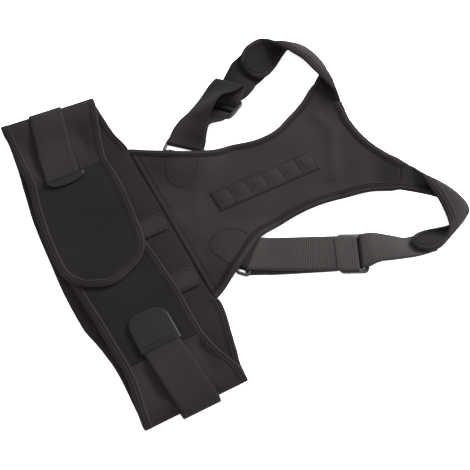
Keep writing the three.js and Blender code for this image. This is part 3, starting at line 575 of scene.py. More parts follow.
# Side wings: the belt's ends, folded inwards over the back section.
# The left wing leans at its fold, and both carry on in a velvety end sewn on at a straight seam.
WINGS = {
    "left": table(
        "x z low high lean",
        (-0.168, 0.0034, -0.16, -0.058, 0),
        (-0.175, 0.0046, -0.161, -0.0585, 0.002),
        (-0.179, 0.01, -0.161, -0.059, 0.003),
        (-0.175, 0.0154, -0.161, -0.0595, 0.003),
        (-0.164, 0.0172, -0.161, -0.061, 0.002),
        (-0.15, 0.0162, -0.161, -0.0645, 0.001),
        (-0.134, 0.0128, -0.161, -0.0685, 0),
        (-0.118, 0.0128, -0.161, -0.073, 0),
        (-0.095, 0.0114, -0.161, -0.078, 0),
    ),
    "right": table(
        "x z low high lean",
        (0.173, 0.0034, -0.16, -0.061, 0),
        (0.184, 0.0042, -0.161, -0.062, 0),
        (0.189, 0.0086, -0.161, -0.063, 0),
        (0.184, 0.013, -0.161, -0.064, 0),
        (0.173, 0.0142, -0.16, -0.066, 0),
        (0.152, 0.0118, -0.157, -0.073, 0),
        (0.1315, 0.0096, -0.156, -0.0772, -0.0008),
    ),
}
WING_STEPS = 8
WING_COLUMNS = 49
DENT = {"depth": 0.0028, "off": 0.025, "reach": 0.009, "from": 0.55, "rise": 0.2, "fall": 0.12}
DENT_MIDDLE = {"left": -0.117, "right": -0.112}


def wing_stations(rows, side):
    """Stations of a wing or of its velvety end, its lower face outwards."""
    stations = []
    for row in rows:
        middle, half = (row["low"] + row["high"]) / 2, (row["high"] - row["low"]) / 2
        across = side * np.array([row.get("lean", 0), half, 0])
        stations.append([np.array([row["x"], middle, row["z"]]), across, 0.0])
    return stations


def dents(grid, middle):
    """Depth of the two soft hollows that the tight elastic leaves beside it in the upper layer of a wing."""
    t = np.linspace(0, 1, len(grid))[:, None]
    along = ease(np.minimum((t - DENT["from"]) / DENT["rise"], (1 - t) / DENT["fall"]), 0, 1)
    off = np.abs(grid[..., 1] - middle) - DENT["off"]
    return DENT["depth"] * along * np.exp(-((off / DENT["reach"]) ** 2))


belt_neoprene = cloth_material("belt_neoprene", srgb(31, 27, 27), srgb(23, 19, 19), KNIT)
wings = {}
for name, side in SIDES.items():
    wings[name] = band_grid(draw_out(wing_stations(WINGS[name], side), WING_STEPS), WING_COLUMNS)
    wings[name][..., 2] -= dents(wings[name], DENT_MIDDLE[name])
    cloth = cloth_wall(f"wing_cloth_{name}", wings[name], NEOPRENE)
    fit(cloth, belt_neoprene, "neoprene", f"side_wing_{name}")


# Velvety ends: short-pile cloth that the hooks of the closure grip, with rounded ends.
# The left one lies on top, over the end of the right one.
PILE_CLOTH = 0.0026
END_STEPS = 12
END_COLUMNS = 37
END_BOW = 0.005
END_BOW_POWER = 8
END_NAMES = {"left": ("flap_cloth", "closure_flap"), "right": ("loop_cloth", "loop_panel")}
ENDS = {
    "left": table(
        "x z low high",
        (-0.0947, 0.0114, -0.161, -0.078),
        (-0.06, 0.0104, -0.167, -0.076),
        (-0.02, 0.0096, -0.17, -0.079),
        (0.012, 0.0093, -0.1695, -0.0825),
        (0.026, 0.0093, -0.164, -0.089),
        (0.0355, 0.0093, -0.156, -0.0985),
        (0.0415, 0.0093, -0.1455, -0.1115),
    ),
    "right": table(
        "x z low high",
        (0.1312, 0.0096, -0.156, -0.0772),
        (0.108, 0.0082, -0.158, -0.0775),
        (0.084, 0.0064, -0.1595, -0.077),
        (0.077, 0.0064, -0.16, -0.0772),
        (0.05, 0.0064, -0.163, -0.079),
        (0.014, 0.0064, -0.165, -0.083),
        (-0.006, 0.0064, -0.161, -0.088),
        (-0.014, 0.0064, -0.15, -0.1),
    ),
}
short_pile = cloth_material("short_pile", srgb(21, 19, 19), srgb(15, 14, 14), (0.0009, 0.0009, 0.4),
                            bump=0.5, lint=1400.0, rough=1.0, sheen=0.06, specular=0.03)
ends = {}
for name, side in SIDES.items():
    ends[name] = band_grid(draw_out(wing_stations(ENDS[name], side), END_STEPS), END_COLUMNS)
    towards_end = np.linspace(0, 1, len(ends[name]))[:, None] ** END_BOW_POWER
    ends[name][..., 0] -= side * (END_BOW * towards_end * (1 - np.linspace(-1, 1, END_COLUMNS) ** 2))
    piece, node = END_NAMES[name]
    cloth = cloth_wall(piece, ends[name], PILE_CLOTH)
    fit(cloth, short_pile, "pile", node)


# Edge binding: tape folded over every raw edge and sewn down, with a ladder stitch on the panel's inner face.
# One length goes up each armhole, round the straps and along the neck; the other goes round the belt.
# A zigzag and a ladder of the same thread close the seam between the panel and the belt.
TAPE = 0.0002
TAPE_STEP = 0.0024
TAPE_FOLD = 0.0006
TAPE_EDGE = 0.0003
CURL_REACH = 0.008
LEAST_SQUARE = 0.6
BODY_TAPE = 0.009
BODY_SEAMS = {"inner": (0.0045, 0.0078), "outer": (0.003, 0.0065)}
BODY_RUNGS = (0.0049, 0.0074)
ROLLED_OVER = np.array([0.071, 0.188])
ROLLED_REACH = 0.0105
BELT_TAPE = 0.0075
BELT_TAPE_EASE = 9
BELT_SEAMS = (0.0022, 0.005)
FOOT_ZIGZAG = (-0.0018, 0.0022)
FOOT_RUNGS = (0.0045, 0.0085)
FOOT_THREAD = 0.0008
STITCH_LENGTH = 0.003
SPECK_HEIGHT = 0.0002


def border(grid, line, backwards=False):
    """A border of a cloth grid: its points, the directions into the cloth and the curl of the cloth there."""
    turn = {
        "first": lambda g: g,
        "last": lambda g: g[:, ::-1],
        "start": lambda g: g.swapaxes(0, 1),
        "end": lambda g: g[::-1].swapaxes(0, 1),
    }[line]
    way, normals = turn(grid), turn(face_normals(grid))[:, 0]
    reach = np.linalg.norm(np.diff(way, axis=1), axis=2).cumsum(1)
    curls = []
    for row, lengths, normal in zip(way, reach, normals):
        k = min(int(np.searchsorted(lengths, CURL_REACH)), len(lengths) - 1)
        wide = lengths[-1] > 3 * CURL_REACH
        curls.append(np.dot(row[k + 1] - row[0], normal) / lengths[k] ** 2 if wide else 0)
    parts = way[:, 0], unit(way[:, 1] - way[:, 0]), np.array(curls)[:, None]
    return [part[::-1] if backwards else part for part in parts]


def evenly(points, spacing, *others):
    """Points, and what goes with them, at an even spacing along their way."""
    ways = np.concatenate([[0], np.linalg.norm(np.diff(points, axis=0), axis=1).cumsum()])
    at = np.linspace(0, ways[-1], max(round(ways[-1] / spacing), 1) + 1)
    return [np.stack([np.interp(at, ways, c) for c in part.T], axis=1) for part in (points, *others)]


def steady(values, reach=2):
    """Values averaged with their neighbours."""
    wide = np.pad(values, ((reach, reach), (0, 0)), mode="edge")
    return sum(wide[k : k + len(values)] for k in range(2 * reach + 1)) / (2 * reach + 1)


def border_path(borders, sign, reach=2):
    """Borders joined to one path: points, normals, curls and the ways into the cloth, longer where askew."""
    points, inwards, curls = (np.concatenate(part) for part in zip(*borders))
    points, inwards, curls = evenly(points, TAPE_STEP, inwards, curls)
    ahead = unit(steady(np.gradient(points, axis=0)))
    inwards = unit(steady(inwards, reach))
    normals = np.cross(ahead, inwards)
    skew = 1 / np.maximum(np.linalg.norm(normals, axis=1, keepdims=True), LEAST_SQUARE)
    return points, sign * unit(normals), steady(curls) * skew**2, inwards * skew


def beside(path, inset, lift):
    """A path moved into the cloth by the inset and off its face by the lift."""
    points, normals, curls, inwards = path
    face = unit(normals - inwards * 2 * curls * inset)
    return points + inwards * inset + normals * curls * inset**2 + face * lift


def binding(name, path, width, half, sign):
    """Tape folded round the edge of a cloth of that half thickness."""
    top = half + TAPE
    section = [(width, 0.9 * half), (width - TAPE_EDGE, top), (width / 2, top), (2 * TAPE_FOLD, top)]
    section += [(-TAPE_EDGE, 0.7 * half), (-TAPE_FOLD, 0)]
    section += [(inset, -lift) for inset, lift in section[-2::-1]]
    rings = np.stack([beside(path, inset, lift) for inset, lift in section], axis=1)
    rows, columns = rings.shape[:2]
    faces = [tuple(range(columns))[::-1], tuple(range((rows - 1) * columns, rows * columns))]
    for i in range(rows - 1):
        for s in range(columns):
            t = (s + 1) % columns
            faces.append((i * columns + s, i * columns + t, (i + 1) * columns + t, (i + 1) * columns + s))
    points = rings.reshape(-1, 3)
    points[:, 2] = np.maximum(points[:, 2], 0)
    along, across = np.arange(rows) * TAPE_STEP, np.arange(columns) * width / (columns // 2)
    flat = np.stack(np.meshgrid(along, across, indexing="ij"), 2)
    return build(name, points, faces if sign > 0 else [f[::-1] for f in faces], flat.reshape(-1, 2))


def thread_tree():
    """Lays a stitch, a spindle of thread, along every edge of a mesh."""
    tree, given, made = group(
        "thread_runs", "GeometryNodeTree",
        {"Geometry": "Geometry", "Cover": "Float", "Thickness": "Float", "Thread": "Material"},
        {"Geometry": "Geometry"},
    )
    tips = put(tree, "GeometryNodeInputMeshEdgeVertices")
    run = put(tree, "ShaderNodeVectorMath", {0: tips.outputs["Position 2"], 1: tips.outputs["Position 1"]},
              operation="SUBTRACT")
    keep = put(tree, "GeometryNodeCaptureAttribute", {"Geometry": given.outputs["Geometry"]}, domain="EDGE")
    keep.capture_items.new("VECTOR", "Run")
    tree.links.new(run.outputs[0], keep.inputs["Run"])
    spots = put(tree, "GeometryNodeMeshToPoints", {"Mesh": keep.outputs["Geometry"]}, mode="EDGES")
    length = put(tree, "ShaderNodeVectorMath", {0: keep.outputs["Run"]}, operation="LENGTH")
    covered = sums(tree, "MULTIPLY", length.outputs["Value"], given.outputs["Cover"])
    thick = given.outputs["Thickness"]
    size = put(tree, "ShaderNodeCombineXYZ", {"X": covered, "Y": thick, "Z": thick})
    turn = put(tree, "FunctionNodeAlignRotationToVector", {"Vector": keep.outputs["Run"]}, axis="X")
    spindle = put(tree, "GeometryNodeMeshUVSphere", {"Segments": 6, "Rings": 4, "Radius": 0.5})
    lay = put(tree, "GeometryNodeInstanceOnPoints",
              {"Points": spots.outputs[0], "Instance": spindle.outputs["Mesh"], "Rotation": turn.outputs[0],
               "Scale": size.outputs[0]})
    whole = put(tree, "GeometryNodeRealizeInstances", {"Geometry": lay.outputs[0]})
    coat = put(tree, "GeometryNodeSetMaterial",
               {"Geometry": whole.outputs[0], "Material": given.outputs["Thread"]})
    feed(tree, made, {"Geometry": coat.outputs[0]})
    return tree


def speckled(name, grain, dark, light, rough, specular, bump=0.0):
    """A finish with fine specks between two tones; rough is one value, or a pair that follows the specks."""
    material, tree, shader = new_material(name)
    place = put(tree, "ShaderNodeTexCoord").outputs["Object"]
    specks = put(tree, "ShaderNodeTexNoise", {"Vector": place, "Scale": grain}).outputs["Fac"]
    if isinstance(rough, tuple):
        rough = put(tree, "ShaderNodeMapRange",
                    {"Value": specks, "To Min": rough[0], "To Max": rough[1]}).outputs[0]
    feed(tree, shader, {"Base Color": mixed(tree, specks, dark, light), "Roughness": rough,
                        "Specular IOR Level": specular})
    if bump:
        fine = put(tree, "ShaderNodeBump", {"Height": specks, "Strength": bump, "Distance": SPECK_HEIGHT})
        feed(tree, shader, {"Normal": fine.outputs[0]})
    return material


THREAD_RUNS = thread_tree()
black_thread = speckled("black_thread", 900.0, srgb(6, 6, 6), srgb(12, 11, 11), rough=0.8, specular=0.1)


def settle(piece):
    """Makes a plain mesh of what the modifiers of a piece give."""
    made = bpy.data.meshes.new_from_object(piece.evaluated_get(bpy.context.evaluated_depsgraph_get()))
    piece.modifiers.clear()
    piece.data = made
    return made


def stitch(name, runs, thickness=0.001, cover=1.0):
    """Stitches of black thread, one from each pair of points that is clear of the floor."""
    points = [tip for run in runs if min(run[0][2], run[1][2]) > thickness for tip in run]
    piece = build(name, points, [], edges=[(k, k + 1) for k in range(0, len(points), 2)])
    threads = piece.modifiers.new("threads", "NODES")
    threads.node_group = THREAD_RUNS
    given = {"Cover": cover, "Thickness": thickness, "Thread": black_thread}
    for socket in THREAD_RUNS.interface.items_tree:
        if socket.in_out == "INPUT" and socket.name in given:
            threads[socket.identifier] = given[socket.name]
    sewn = settle(piece)
    sewn.polygons.foreach_set("use_smooth", [True] * len(sewn.polygons))
    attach(piece, "root")
    return piece


def seam(points, pitch=STITCH_LENGTH):
    """A running seam: pairs of neighbouring points at that pitch."""
    even = evenly(points, pitch)[0]
    return list(zip(even[:-1], even[1:]))


def ladder(path, near, far, lift):
    """Rungs of a ladder stitch beside a path."""
    return list(zip(beside(path, near, lift), beside(path, far, lift)))


def strap_borders(strap):
    """Borders of a strap: out along one edge, round its tip and back along the other."""
    return [border(strap, "last"),
            border(strap, "end", backwards=True), border(strap, "first", backwards=True)]


def wing_borders(wing, end):
    """Borders of a wing and its velvety end: out along one edge, round the end and back along the other."""
    return [border(wing, "first"), border(end, "first"), border(end, "end"),
            border(end, "last", backwards=True), border(wing, "last", backwards=True)]


bias_tape = cloth_material("bias_tape", srgb(34, 30, 30), srgb(25, 21, 21), (0.0012, 0.0012, 0.5))
on_tape = NEOPRENE / 2 + 1.5 * TAPE
body_path = border_path(
    [
        border(panel, "last"),
        *strap_borders(straps["left"]),
        border(panel[:, ARM_COLUMNS:-ARM_COLUMNS], "end", backwards=True),
        *strap_borders(straps["right"]),
        border(panel, "first", backwards=True),
    ],
    -1,
)
fit(binding("body_binding", body_path, BODY_TAPE, NEOPRENE / 2, -1), bias_tape, "neoprene")
body_runs = ladder(body_path, *BODY_RUNGS, on_tape)
for face, lift in (("inner", on_tape), ("outer", -on_tape)):
    for inset in BODY_SEAMS[face]:
        body_runs += seam(beside(body_path, inset, lift))
# The right strap rolls over its seam at the neck, and hides the stitches there.
body_runs = [run for run in body_runs if np.linalg.norm(run[0][:2] - ROLLED_OVER) > ROLLED_REACH]
stitch("body_binding_stitches", body_runs)

belt_start = belt[belt[:, 0, 0] < -ARMHOLE[0]["left"]]
belt_stop = belt[belt[:, 0, 0] > ARMHOLE[0]["right"]]
belt_path = border_path(
    [
        border(belt_start, "last", backwards=True),
        *wing_borders(wings["left"], ends["left"]),
        border(belt, "first"),
        *wing_borders(wings["right"], ends["right"]),
        border(belt_stop, "last", backwards=True),
    ],
    1,
    BELT_TAPE_EASE,
)
fit(binding("belt_binding", belt_path, BELT_TAPE, NEOPRENE / 2, 1), bias_tape, "neoprene")
belt_runs = []
for inset, lift in itertools.product(BELT_SEAMS, (on_tape, -on_tape)):
    belt_runs += seam(beside(belt_path, inset, lift))
stitch("belt_binding_stitches", belt_runs)

foot_path = border_path([border(panel[:, 2:-2], "start")], -1)
outer, inner = (beside(foot_path, inset, NEOPRENE / 2) for inset in FOOT_ZIGZAG)
foot_runs = list(zip(outer, inner)) + list(zip(inner[:-1], outer[1:]))
foot_runs += ladder(foot_path, *FOOT_RUNGS, NEOPRENE / 2)
stitch("belt_seam_stitches", foot_runs, FOOT_THREAD)


# Elastic pull straps: twill elastic sewn under the belt, drawn round the outside of each fold.
# Each ends on top of the velvety end in a leatherette pull tab.
ELASTIC_WIDTH = 0.035
ELASTIC_COLUMNS = 15
ELASTIC_SEWN_ROWS = 9
ELASTIC_SEWN_X = 0.113
ELASTIC_FREE_X = 0.145
BELT_MIDDLE_Y = -0.11
ON_WING = (NEOPRENE + ELASTIC) / 2 + CLEARANCE
ELASTIC_WAYS = {
    "left": {"sewn_y": -0.111, "fold_y": -0.113, "end_y": -0.127, "beyond": 0.0055, "slack": 0.0},
    "right": {"sewn_y": -0.11, "fold_y": -0.11, "end_y": -0.1165, "beyond": 0.0035, "slack": 0.0042},
}
# Its twill grooves carry painted shade.
twill_elastic = cloth_material("twill_elastic", srgb(34, 32, 31), srgb(26, 24, 23), (0.0017, 0.0016, 1.0),
                               bump=0.6, groove_shade=0.5)


def elastic_grid(name, side):
    """Middle surface of an elastic strap, round the outside of its wing."""
    rows, way = draw_out(wing_stations(WINGS[name], side)), ELASTIC_WAYS[name]
    sewn = np.linspace(ELASTIC_SEWN_X, ELASTIC_FREE_X, ELASTIC_SEWN_ROWS)
    points = [(side * x, ELASTIC / 2, 0.0) for x in sewn]
    for (centre, across, _), step in zip(rows, steps_of(rows)):
        length = np.hypot(step[0], step[2])
        off = ON_WING + way["slack"] * max(step[2] / length, 0)
        x = centre[0] + side * off * step[2] / length
        z = centre[2] - side * off * step[0] / length
        points.append((x, z, across[0] / across[1]))
    x, z, lean = points[-1]
    points += [(x - side * way["beyond"] * k / 2, z, lean) for k in (1, 2)]
    stations = []
    for share, (x, z, lean) in zip(np.linspace(0, 2, len(points)), points):
        start, stop = (way["sewn_y"], way["fold_y"]) if share < 1 else (way["fold_y"], way["end_y"])
        y = start + (stop - start) * (share % 1 if share < 2 else 1)
        across = np.array([lean, 1, 0]) * side * ELASTIC_WIDTH / 2
        stations.append([np.array([x + lean * (y - BELT_MIDDLE_Y), y, z]), across, 0.0])
    return band_grid(stations, ELASTIC_COLUMNS)


for name, side in SIDES.items():
    cloth = cloth_wall(f"elastic_{name}", elastic_grid(name, side), ELASTIC)
    fit(cloth, twill_elastic, "elastic", f"pull_strap_{name}")


# Pull tabs: padded leatherette sewn to the ends of the elastic, to grip when the belt is tightened.
# The left one shows only its turned end, the right one its whole rounded length.
LEATHERETTE = 0.002
TABS = {
    "left": {"length": 0.01, "width": 0.039, "shift": 0.0025, "corner": 0.008, "narrow": 1.0, "seams": (1,)},
    "right": {"length": 0.0405, "width": 0.039, "shift": 0, "corner": 0.014, "narrow": 0.72, "seams": (1, 3)},
}
TAB_STEP = 0.002
TAB_TURNS = range(0, 86, 7)
TAB_COLUMNS = 21
TAB_THREAD = 0.0007
leatherette = cloth_material("leatherette", srgb(16, 15, 15), srgb(12, 11, 11), (0.004, 0.004, 0.7),
                             bump=0.12, lint=700.0, rough=0.5, specular=0.13)


def tab_grid(name, side):
    """Middle surface of a pull tab, on its velvety end."""
    tab, rows = TABS[name], ENDS[name]
    lift = (PILE_CLOTH + LEATHERETTE) / 2 + 2 * CLEARANCE
    stations = []
    for share in np.linspace(0, 1, 5):
        x = rows[0]["x"] - side * (CLEARANCE + ELASTIC_WAYS[name]["beyond"] + tab["length"] * share)
        y = ELASTIC_WAYS[name]["end_y"] + tab["shift"]
        z = look_up(rows, "x", "z", x) + lift
        stations.append([np.array([x, y, z]), np.array([0, side * tab["width"] / 2, 0]), 0.0])
    rows = round_end(draw_out(stations), TAB_STEP, tab["corner"], TAB_TURNS, tab["narrow"])
    return band_grid(rows, TAB_COLUMNS)


for name, side in SIDES.items():
    grid = tab_grid(name, side)
    cloth = cloth_wall(f"tab_{name}", grid, LEATHERETTE)
    fit(cloth, leatherette, "leatherette", f"pull_tab_{name}")
    face = grid - face_normals(grid) * LEATHERETTE / 2
    runs = [run for row in TABS[name]["seams"] for run in seam(face[row, 2:-2])]
    stitch(f"tab_stitches_{name}", runs, TAB_THREAD)


# Stay pockets: narrow sewn channels on the back section that hold the flexible stays.
# Each is a strip of the same neoprene with a round upper end beside the seam.
POCKET_CLOTH = 0.0015
STAY_WIDTH = 0.022
STAY_CORNER = 0.006
STAY_TOP = -0.054
STAY_BOTTOM = -0.158
STAY_STEP = 0.003
STAY_TURNS = range(0, 91, 9)
STAY_COLUMNS = 15
STAY_SEAMS = (1, 2, -3, -2)
STAY_SWELL = 0.0002
STAY_THREAD = 0.0007
STAYS = {"inner": 0.0, "outer": 0.071}
stay_neoprene = cloth_material("stay_neoprene", srgb(34, 30, 30), srgb(27, 23, 23), KNIT)
for name, x in STAYS.items():
    z = NEOPRENE + CLEARANCE + POCKET_CLOTH / 2
    stations = [[np.array([x, y, z]), np.array([-STAY_WIDTH / 2, 0, 0]), 0.0]
                for y in np.linspace(STAY_BOTTOM, STAY_TOP, 5)]
    rows = round_end(draw_out(stations, 8), STAY_STEP, STAY_CORNER, STAY_TURNS, STAY_CORNER / STAY_WIDTH * 2)
    grid = band_grid(rows, STAY_COLUMNS)
    swell = STAY_SWELL * (1 - np.linspace(-1, 1, STAY_COLUMNS) ** 2)
    cloth = cloth_wall(f"stay_cloth_{name}", grid, POCKET_CLOTH, swell)
    fit(cloth, stay_neoprene, "neoprene", f"stay_pocket_{name}")
    face = grid + face_normals(grid) * POCKET_CLOTH / 2
    runs = [run for k in STAY_SEAMS for run in seam(face[:, k])]
    stitch(f"stay_stitches_{name}", runs, STAY_THREAD)


# Magnet strip: a band of neoprene sewn along the spine over a row of small square magnets.
# Each magnet shows as a puffed square between stitched separators.
MAGNETS = 6
PER_MAGNET = 16
STRIP_COLUMNS = 27
STRIP = {"x": 0.003, "y": 0, "width": 0.025, "length": 0.117, "thickness": 0.0006, "puff": 0.001}
PUFF_ALONG = (0.04, 0.4)
PUFF_ACROSS = (0.08, 0.4)
STRIP_SEAM = {"aside": 0.06, "end": 0.015, "separator": 0.08, "step": 0.02, "thread": 0.0008}


def on_strip(u, v, above):
    """A point over the panel at shares of the strip's width and length."""
    x, y = STRIP["x"] + STRIP["width"] * (u - 0.5), STRIP["y"] + STRIP["length"] * v
    return on_panel(x, y, CLEARANCE + above)


def puff(share, edges):
    """How far a magnet has raised the cloth, from its edge to its middle."""
    return ease(np.minimum(share, 1 - share), *edges)


across = np.linspace(1, 0, STRIP_COLUMNS)
along = np.arange(MAGNETS * PER_MAGNET + 1) / PER_MAGNET
strip = np.array([[on_strip(u, v / MAGNETS, STRIP["thickness"] / 2) for u in across] for v in along])
swell = STRIP["puff"] * puff(along % 1, PUFF_ALONG)[:, None] * puff(across, PUFF_ACROSS)
magnet_cloth = cloth_wall("magnet_cloth", strip, STRIP["thickness"], swell)
fit(magnet_cloth, knit_neoprene, "neoprene", "magnet_strip")


def strip_line(*corners):
    """A seam on the strip through places given as shares of its width and length."""
    places = evenly(np.array(corners), STRIP_SEAM["step"])[0]
    return seam(np.array([on_strip(u, v, STRIP["thickness"]) for u, v in places]))


left, foot, inset = STRIP_SEAM["aside"], STRIP_SEAM["end"], STRIP_SEAM["separator"]
strip_runs = strip_line((left, foot), (1 - left, foot), (1 - left, 1 - foot), (left, 1 - foot), (left, foot))
for k in range(1, MAGNETS):
    strip_runs += strip_line((inset, k / MAGNETS), (1 - inset, k / MAGNETS))
stitch("magnet_strip_stitches", strip_runs, STRIP_SEAM["thread"])


# Rings: grey wire bent to a rectangle, held under the panel's edge by a sewn loop.
# The webbing of each shoulder strap goes round the outer bar.
RING = {"z": 0.00315, "length": 0.0455, "width": 0.015, "wire": 0.0034, "corner": 0.0027, "slant": 47}
WIRE_SIDES = 14
CORNER_STEPS = 8
RING_TAB = {"width": 0.031, "tail": 0.017, "tuck": 0.002, "cloth": 0.001, "radius": 0.0026}
RING_TAB_SLACK = {"left": 0.0, "right": 0.0065}
RING_TAB_COLUMNS = 9
PATCH_LIFT = 0.0001
PATCH_STITCH = 0.0028
PATCH_THREAD = 0.0008


def ring_axes(name):
    """Directions along a ring's bars and outwards from the panel, its outer bar's middle and its pitch."""
    side, slant = SIDES[name], math.radians(RING["slant"])
    bar = np.array([side * math.cos(slant), -math.sin(slant), 0])
    out = np.array([side * math.sin(slant), math.cos(slant), 0])
    return bar, out, np.array([*RINGS[name], RING["z"]]), RING["width"] - RING["wire"]


def wire_ring(name):
    """A closed bent wire."""
    bar, out, outer_bar, pitch = ring_axes(name)
    half, radius, corner = (RING["length"] - RING["wire"]) / 2, RING["wire"] / 2, RING["corner"]
    points = []
    for k, (a, b) in enumerate([(half, 0), (half, -pitch), (-half, -pitch), (-half, 0)]):
        centre = (a - math.copysign(corner, a), b + (corner if b else -corner))
        for angle in np.radians(np.linspace(90 - 90 * k, -90 * k, CORNER_STEPS)):
            spoke = bar * math.cos(angle) + out * math.sin(angle)
            middle = outer_bar + bar * centre[0] + out * centre[1] + spoke * corner
            for turn in np.linspace(0, 2 * math.pi, WIRE_SIDES, endpoint=False):
                points.append(middle + (spoke * math.cos(turn) + np.array([0, 0, math.sin(turn)])) * radius)
    faces = []
    for i in range(0, len(points), WIRE_SIDES):
        after = (i + WIRE_SIDES) % len(points)
        for s in range(WIRE_SIDES):
            t = (s + 1) % WIRE_SIDES
            faces.append((i + s, i + t, after + t, after + s)[:: SIDES[name]])
    return build(f"ring_wire_{name}", points, faces)


grey_wire = speckled("grey_wire", 350.0, srgb(26, 25, 24), srgb(37, 36, 35), rough=(0.3, 0.5), specular=0.25)
# The ribs' grooves carry painted shade.
RIBS = {"weave": (0.0022, 0.0011, 0.0), "bump": 0.9, "groove_shade": 0.75}
# The sewn loops are much darker than the webbing: painted shade between the panel's edge and the ring.
loop_webbing_painted_shade = cloth_material("loop_webbing_painted_shade", srgb(17, 15, 15), srgb(12, 11, 11), **RIBS, specular=0.15)


def ring_loop_grid(name):
    """Middle surface of the sewn loop: round the inner bar, with both ends under the panel."""
    bar, out, outer_bar, pitch = ring_axes(name)
    radius = RING_TAB["radius"] - RING_TAB["cloth"] / 2
    inner_bar = outer_bar - out * pitch
    slack = RING_TAB_SLACK[name]
    profile = [(-RING_TAB["tail"], -radius)]
    for angle in np.radians(np.linspace(-90, 90, 13)):
        profile.append((slack + radius * math.cos(angle), radius * math.sin(angle)))
    profile += [(0, radius), (-radius, radius / 2), (-radius - RING_TAB["tuck"], -radius + RING_TAB["cloth"])]
    half = bar * SIDES[name] * RING_TAB["width"] / 2
    rows = [[inner_bar + out * p + np.array([0, 0, q]), half, 0.0] for p, q in profile]
    return band_grid(rows, RING_TAB_COLUMNS)


RING_PATCHES = {
    "left": [
        (-0.0695, -0.0208), (-0.0645, -0.0234), (-0.0542, -0.0282), (-0.0435, -0.0305), (-0.0352, -0.0285),
        (-0.0298, -0.0225), (-0.0276, -0.0145), (-0.0305, -0.0085), (-0.0395, -0.0003), (-0.05, 0.0062),
        (-0.0545, 0.009),
    ],
    "right": [
        (0.0565, 0.0088), (0.0515, 0.0068), (0.0433, 0.0025), (0.0388, -0.0063), (0.0396, -0.0195),
        (0.0455, -0.0277), (0.0559, -0.0299), (0.0657, -0.0273), (0.0775, -0.0228),
    ],
}


def patch_runs(places):
    """The seam that holds a ring's loop, drawn smoothly over the panel's inner face."""
    rows = draw_out([[np.array(place), 0.0, 0.0] for place in places], 8)
    return seam(np.array([on_panel(*row[0], PATCH_LIFT) for row in rows]), PATCH_STITCH)


for name in SIDES:
    stitch(f"ring_patch_stitches_{name}", patch_runs(RING_PATCHES[name]), PATCH_THREAD)
    fit(wire_ring(name), grey_wire, "wire", f"ring_{name}")
    cloth = cloth_wall(f"ring_loop_{name}", ring_loop_grid(name), RING_TAB["cloth"])
    fit(cloth, loop_webbing_painted_shade, "webbing", f"ring_tab_{name}")


# Shoulder webbing: ribbed webbing sewn under each strap's round end, through the buckle and round the ring.
# It comes back to the buckle's middle bar: drawn tight on the right, in a loose twisted loop on the left.
# One row of heavy stitches crosses the upper layer of the right one.
WEBBING = 0.0015
WEBBING_WIDTH = 0.038
WEBBING_SEWN = 0.02
WEBBING_STITCH = 0.008
UNDER_STRAP_STEP = 0.006
UNDER_STRAP_TURNS = (0, 25, 45, 60, 72, 81)
WEBBING_STEPS = 6
WEBBING_COLUMNS = 13
SEWN_LAYER = slice(8 * WEBBING_STEPS, 13 * WEBBING_STEPS)
SEWN_FROM_RING = 0.0765
BAR_RULING = (0.005, 0.07)
WEBBING_RUNS = {
    "right": {
        "heading": 63.4, "buckle": 0.094, "sewn_angle": 0, "sewn_shift": 0,
        "turns": table(
            "along upper lower upper_aside lower_aside",
            (0, 0, 0, -0.0035, 0),
            (0.04, 0, 0, -0.0012, 0.0005),
            (0.085, 0, 0, 0.0008, -0.0002),
            (0.105, 0, 0, 0, -0.0032),
            (0.122, 0, -14, 0, -0.0058),
        ),
        "loop": table(
            "along z upper",
            (-0.004, 0.0032, 0), (0, 0.0032, 0), (0.0026, 0.0033, 0), (0.0044, 0.0044, 0),
            (0.0048, 0.0059, 0.5), (0.0044, 0.0075, 1), (0.0026, 0.0087, 1), (0, 0.0088, 1),
            (-0.008, 0.0099, 1), (-0.0145, 0.0109, 1), (-0.024, 0.01, 1),
        ),
    },
    "left": {
        "heading": 118.2, "buckle": 0.062, "sewn_angle": 14, "sewn_shift": 0.004,
        "turns": table(
            "along upper lower upper_aside lower_aside",
            (0, 0, 0, 0.002, 0.001),
            (0.024, 24, 24, 0.006, 0.006),
            (0.044, 42, 14, 0.0005, -0.003),
            (0.056, 42, 14, -0.0005, -0.0032),
            (0.084, 18, 14, 0.0015, -0.0025),
            (0.096, 14, 18, 0.003, -0.001),
        ),
        "loop": table(
            "along z upper",
            (-0.004, 0.0032, 0), (0, 0.0032, 0), (0.0026, 0.0033, 0), (0.0044, 0.0046, 0),
            (0.0052, 0.0074, 0), (0.011, 0.0106, 0), (0.0215, 0.0112, 0.3), (0.0272, 0.0116, 0.6),
            (0.029, 0.013, 0.9), (0.0265, 0.0144, 1), (0.014, 0.0144, 1), (-0.006, 0.0134, 1),
            (-0.024, 0.0104, 1),
        ),
    },
}
RING_LOOP = table(
    "along z upper",
    (0.028, 0.007, 1), (0.016, 0.006, 1), (0.008, 0.0055, 1), (0.003, 0.0056, 1), (0, 0.0056, 1),
    (-0.0019, 0.005, 1), (-0.0027, 0.00315, 1), (-0.0019, 0.0015, 0), (0, 0.0008, 0),
    (0.003, 0.0008, 0), (0.008, 0.0011, 0), (0.016, 0.0017, 0), (0.026, 0.0026, 0),
)
BUCKLE_WEAVE = table(
    "along z",
    (-0.022, 0.0072), (-0.0155, 0.0086), (-0.0125, 0.0088), (-0.0098, 0.0084), (-0.0075, 0.0049),
    (-0.0052, 0.0019), (0, 0.0015), (0.005, 0.0016), (0.0068, 0.004), (0.0086, 0.0074),
    (0.0103, 0.0086), (0.0125, 0.0088), (0.016, 0.0084), (0.02, 0.007), (0.026, 0.0046),
)


def ease_up(rows, by, key, value):
    """Value of one column, easing from row to row."""
    past = [k for k, row in enumerate(rows) if row[by] > value]
    i = min(max(past[0] if past else len(rows) - 1, 1), len(rows) - 1)
    share = ease(value, rows[i - 1][by], rows[i][by])
    return rows[i - 1][key] + (rows[i][key] - rows[i - 1][key]) * share


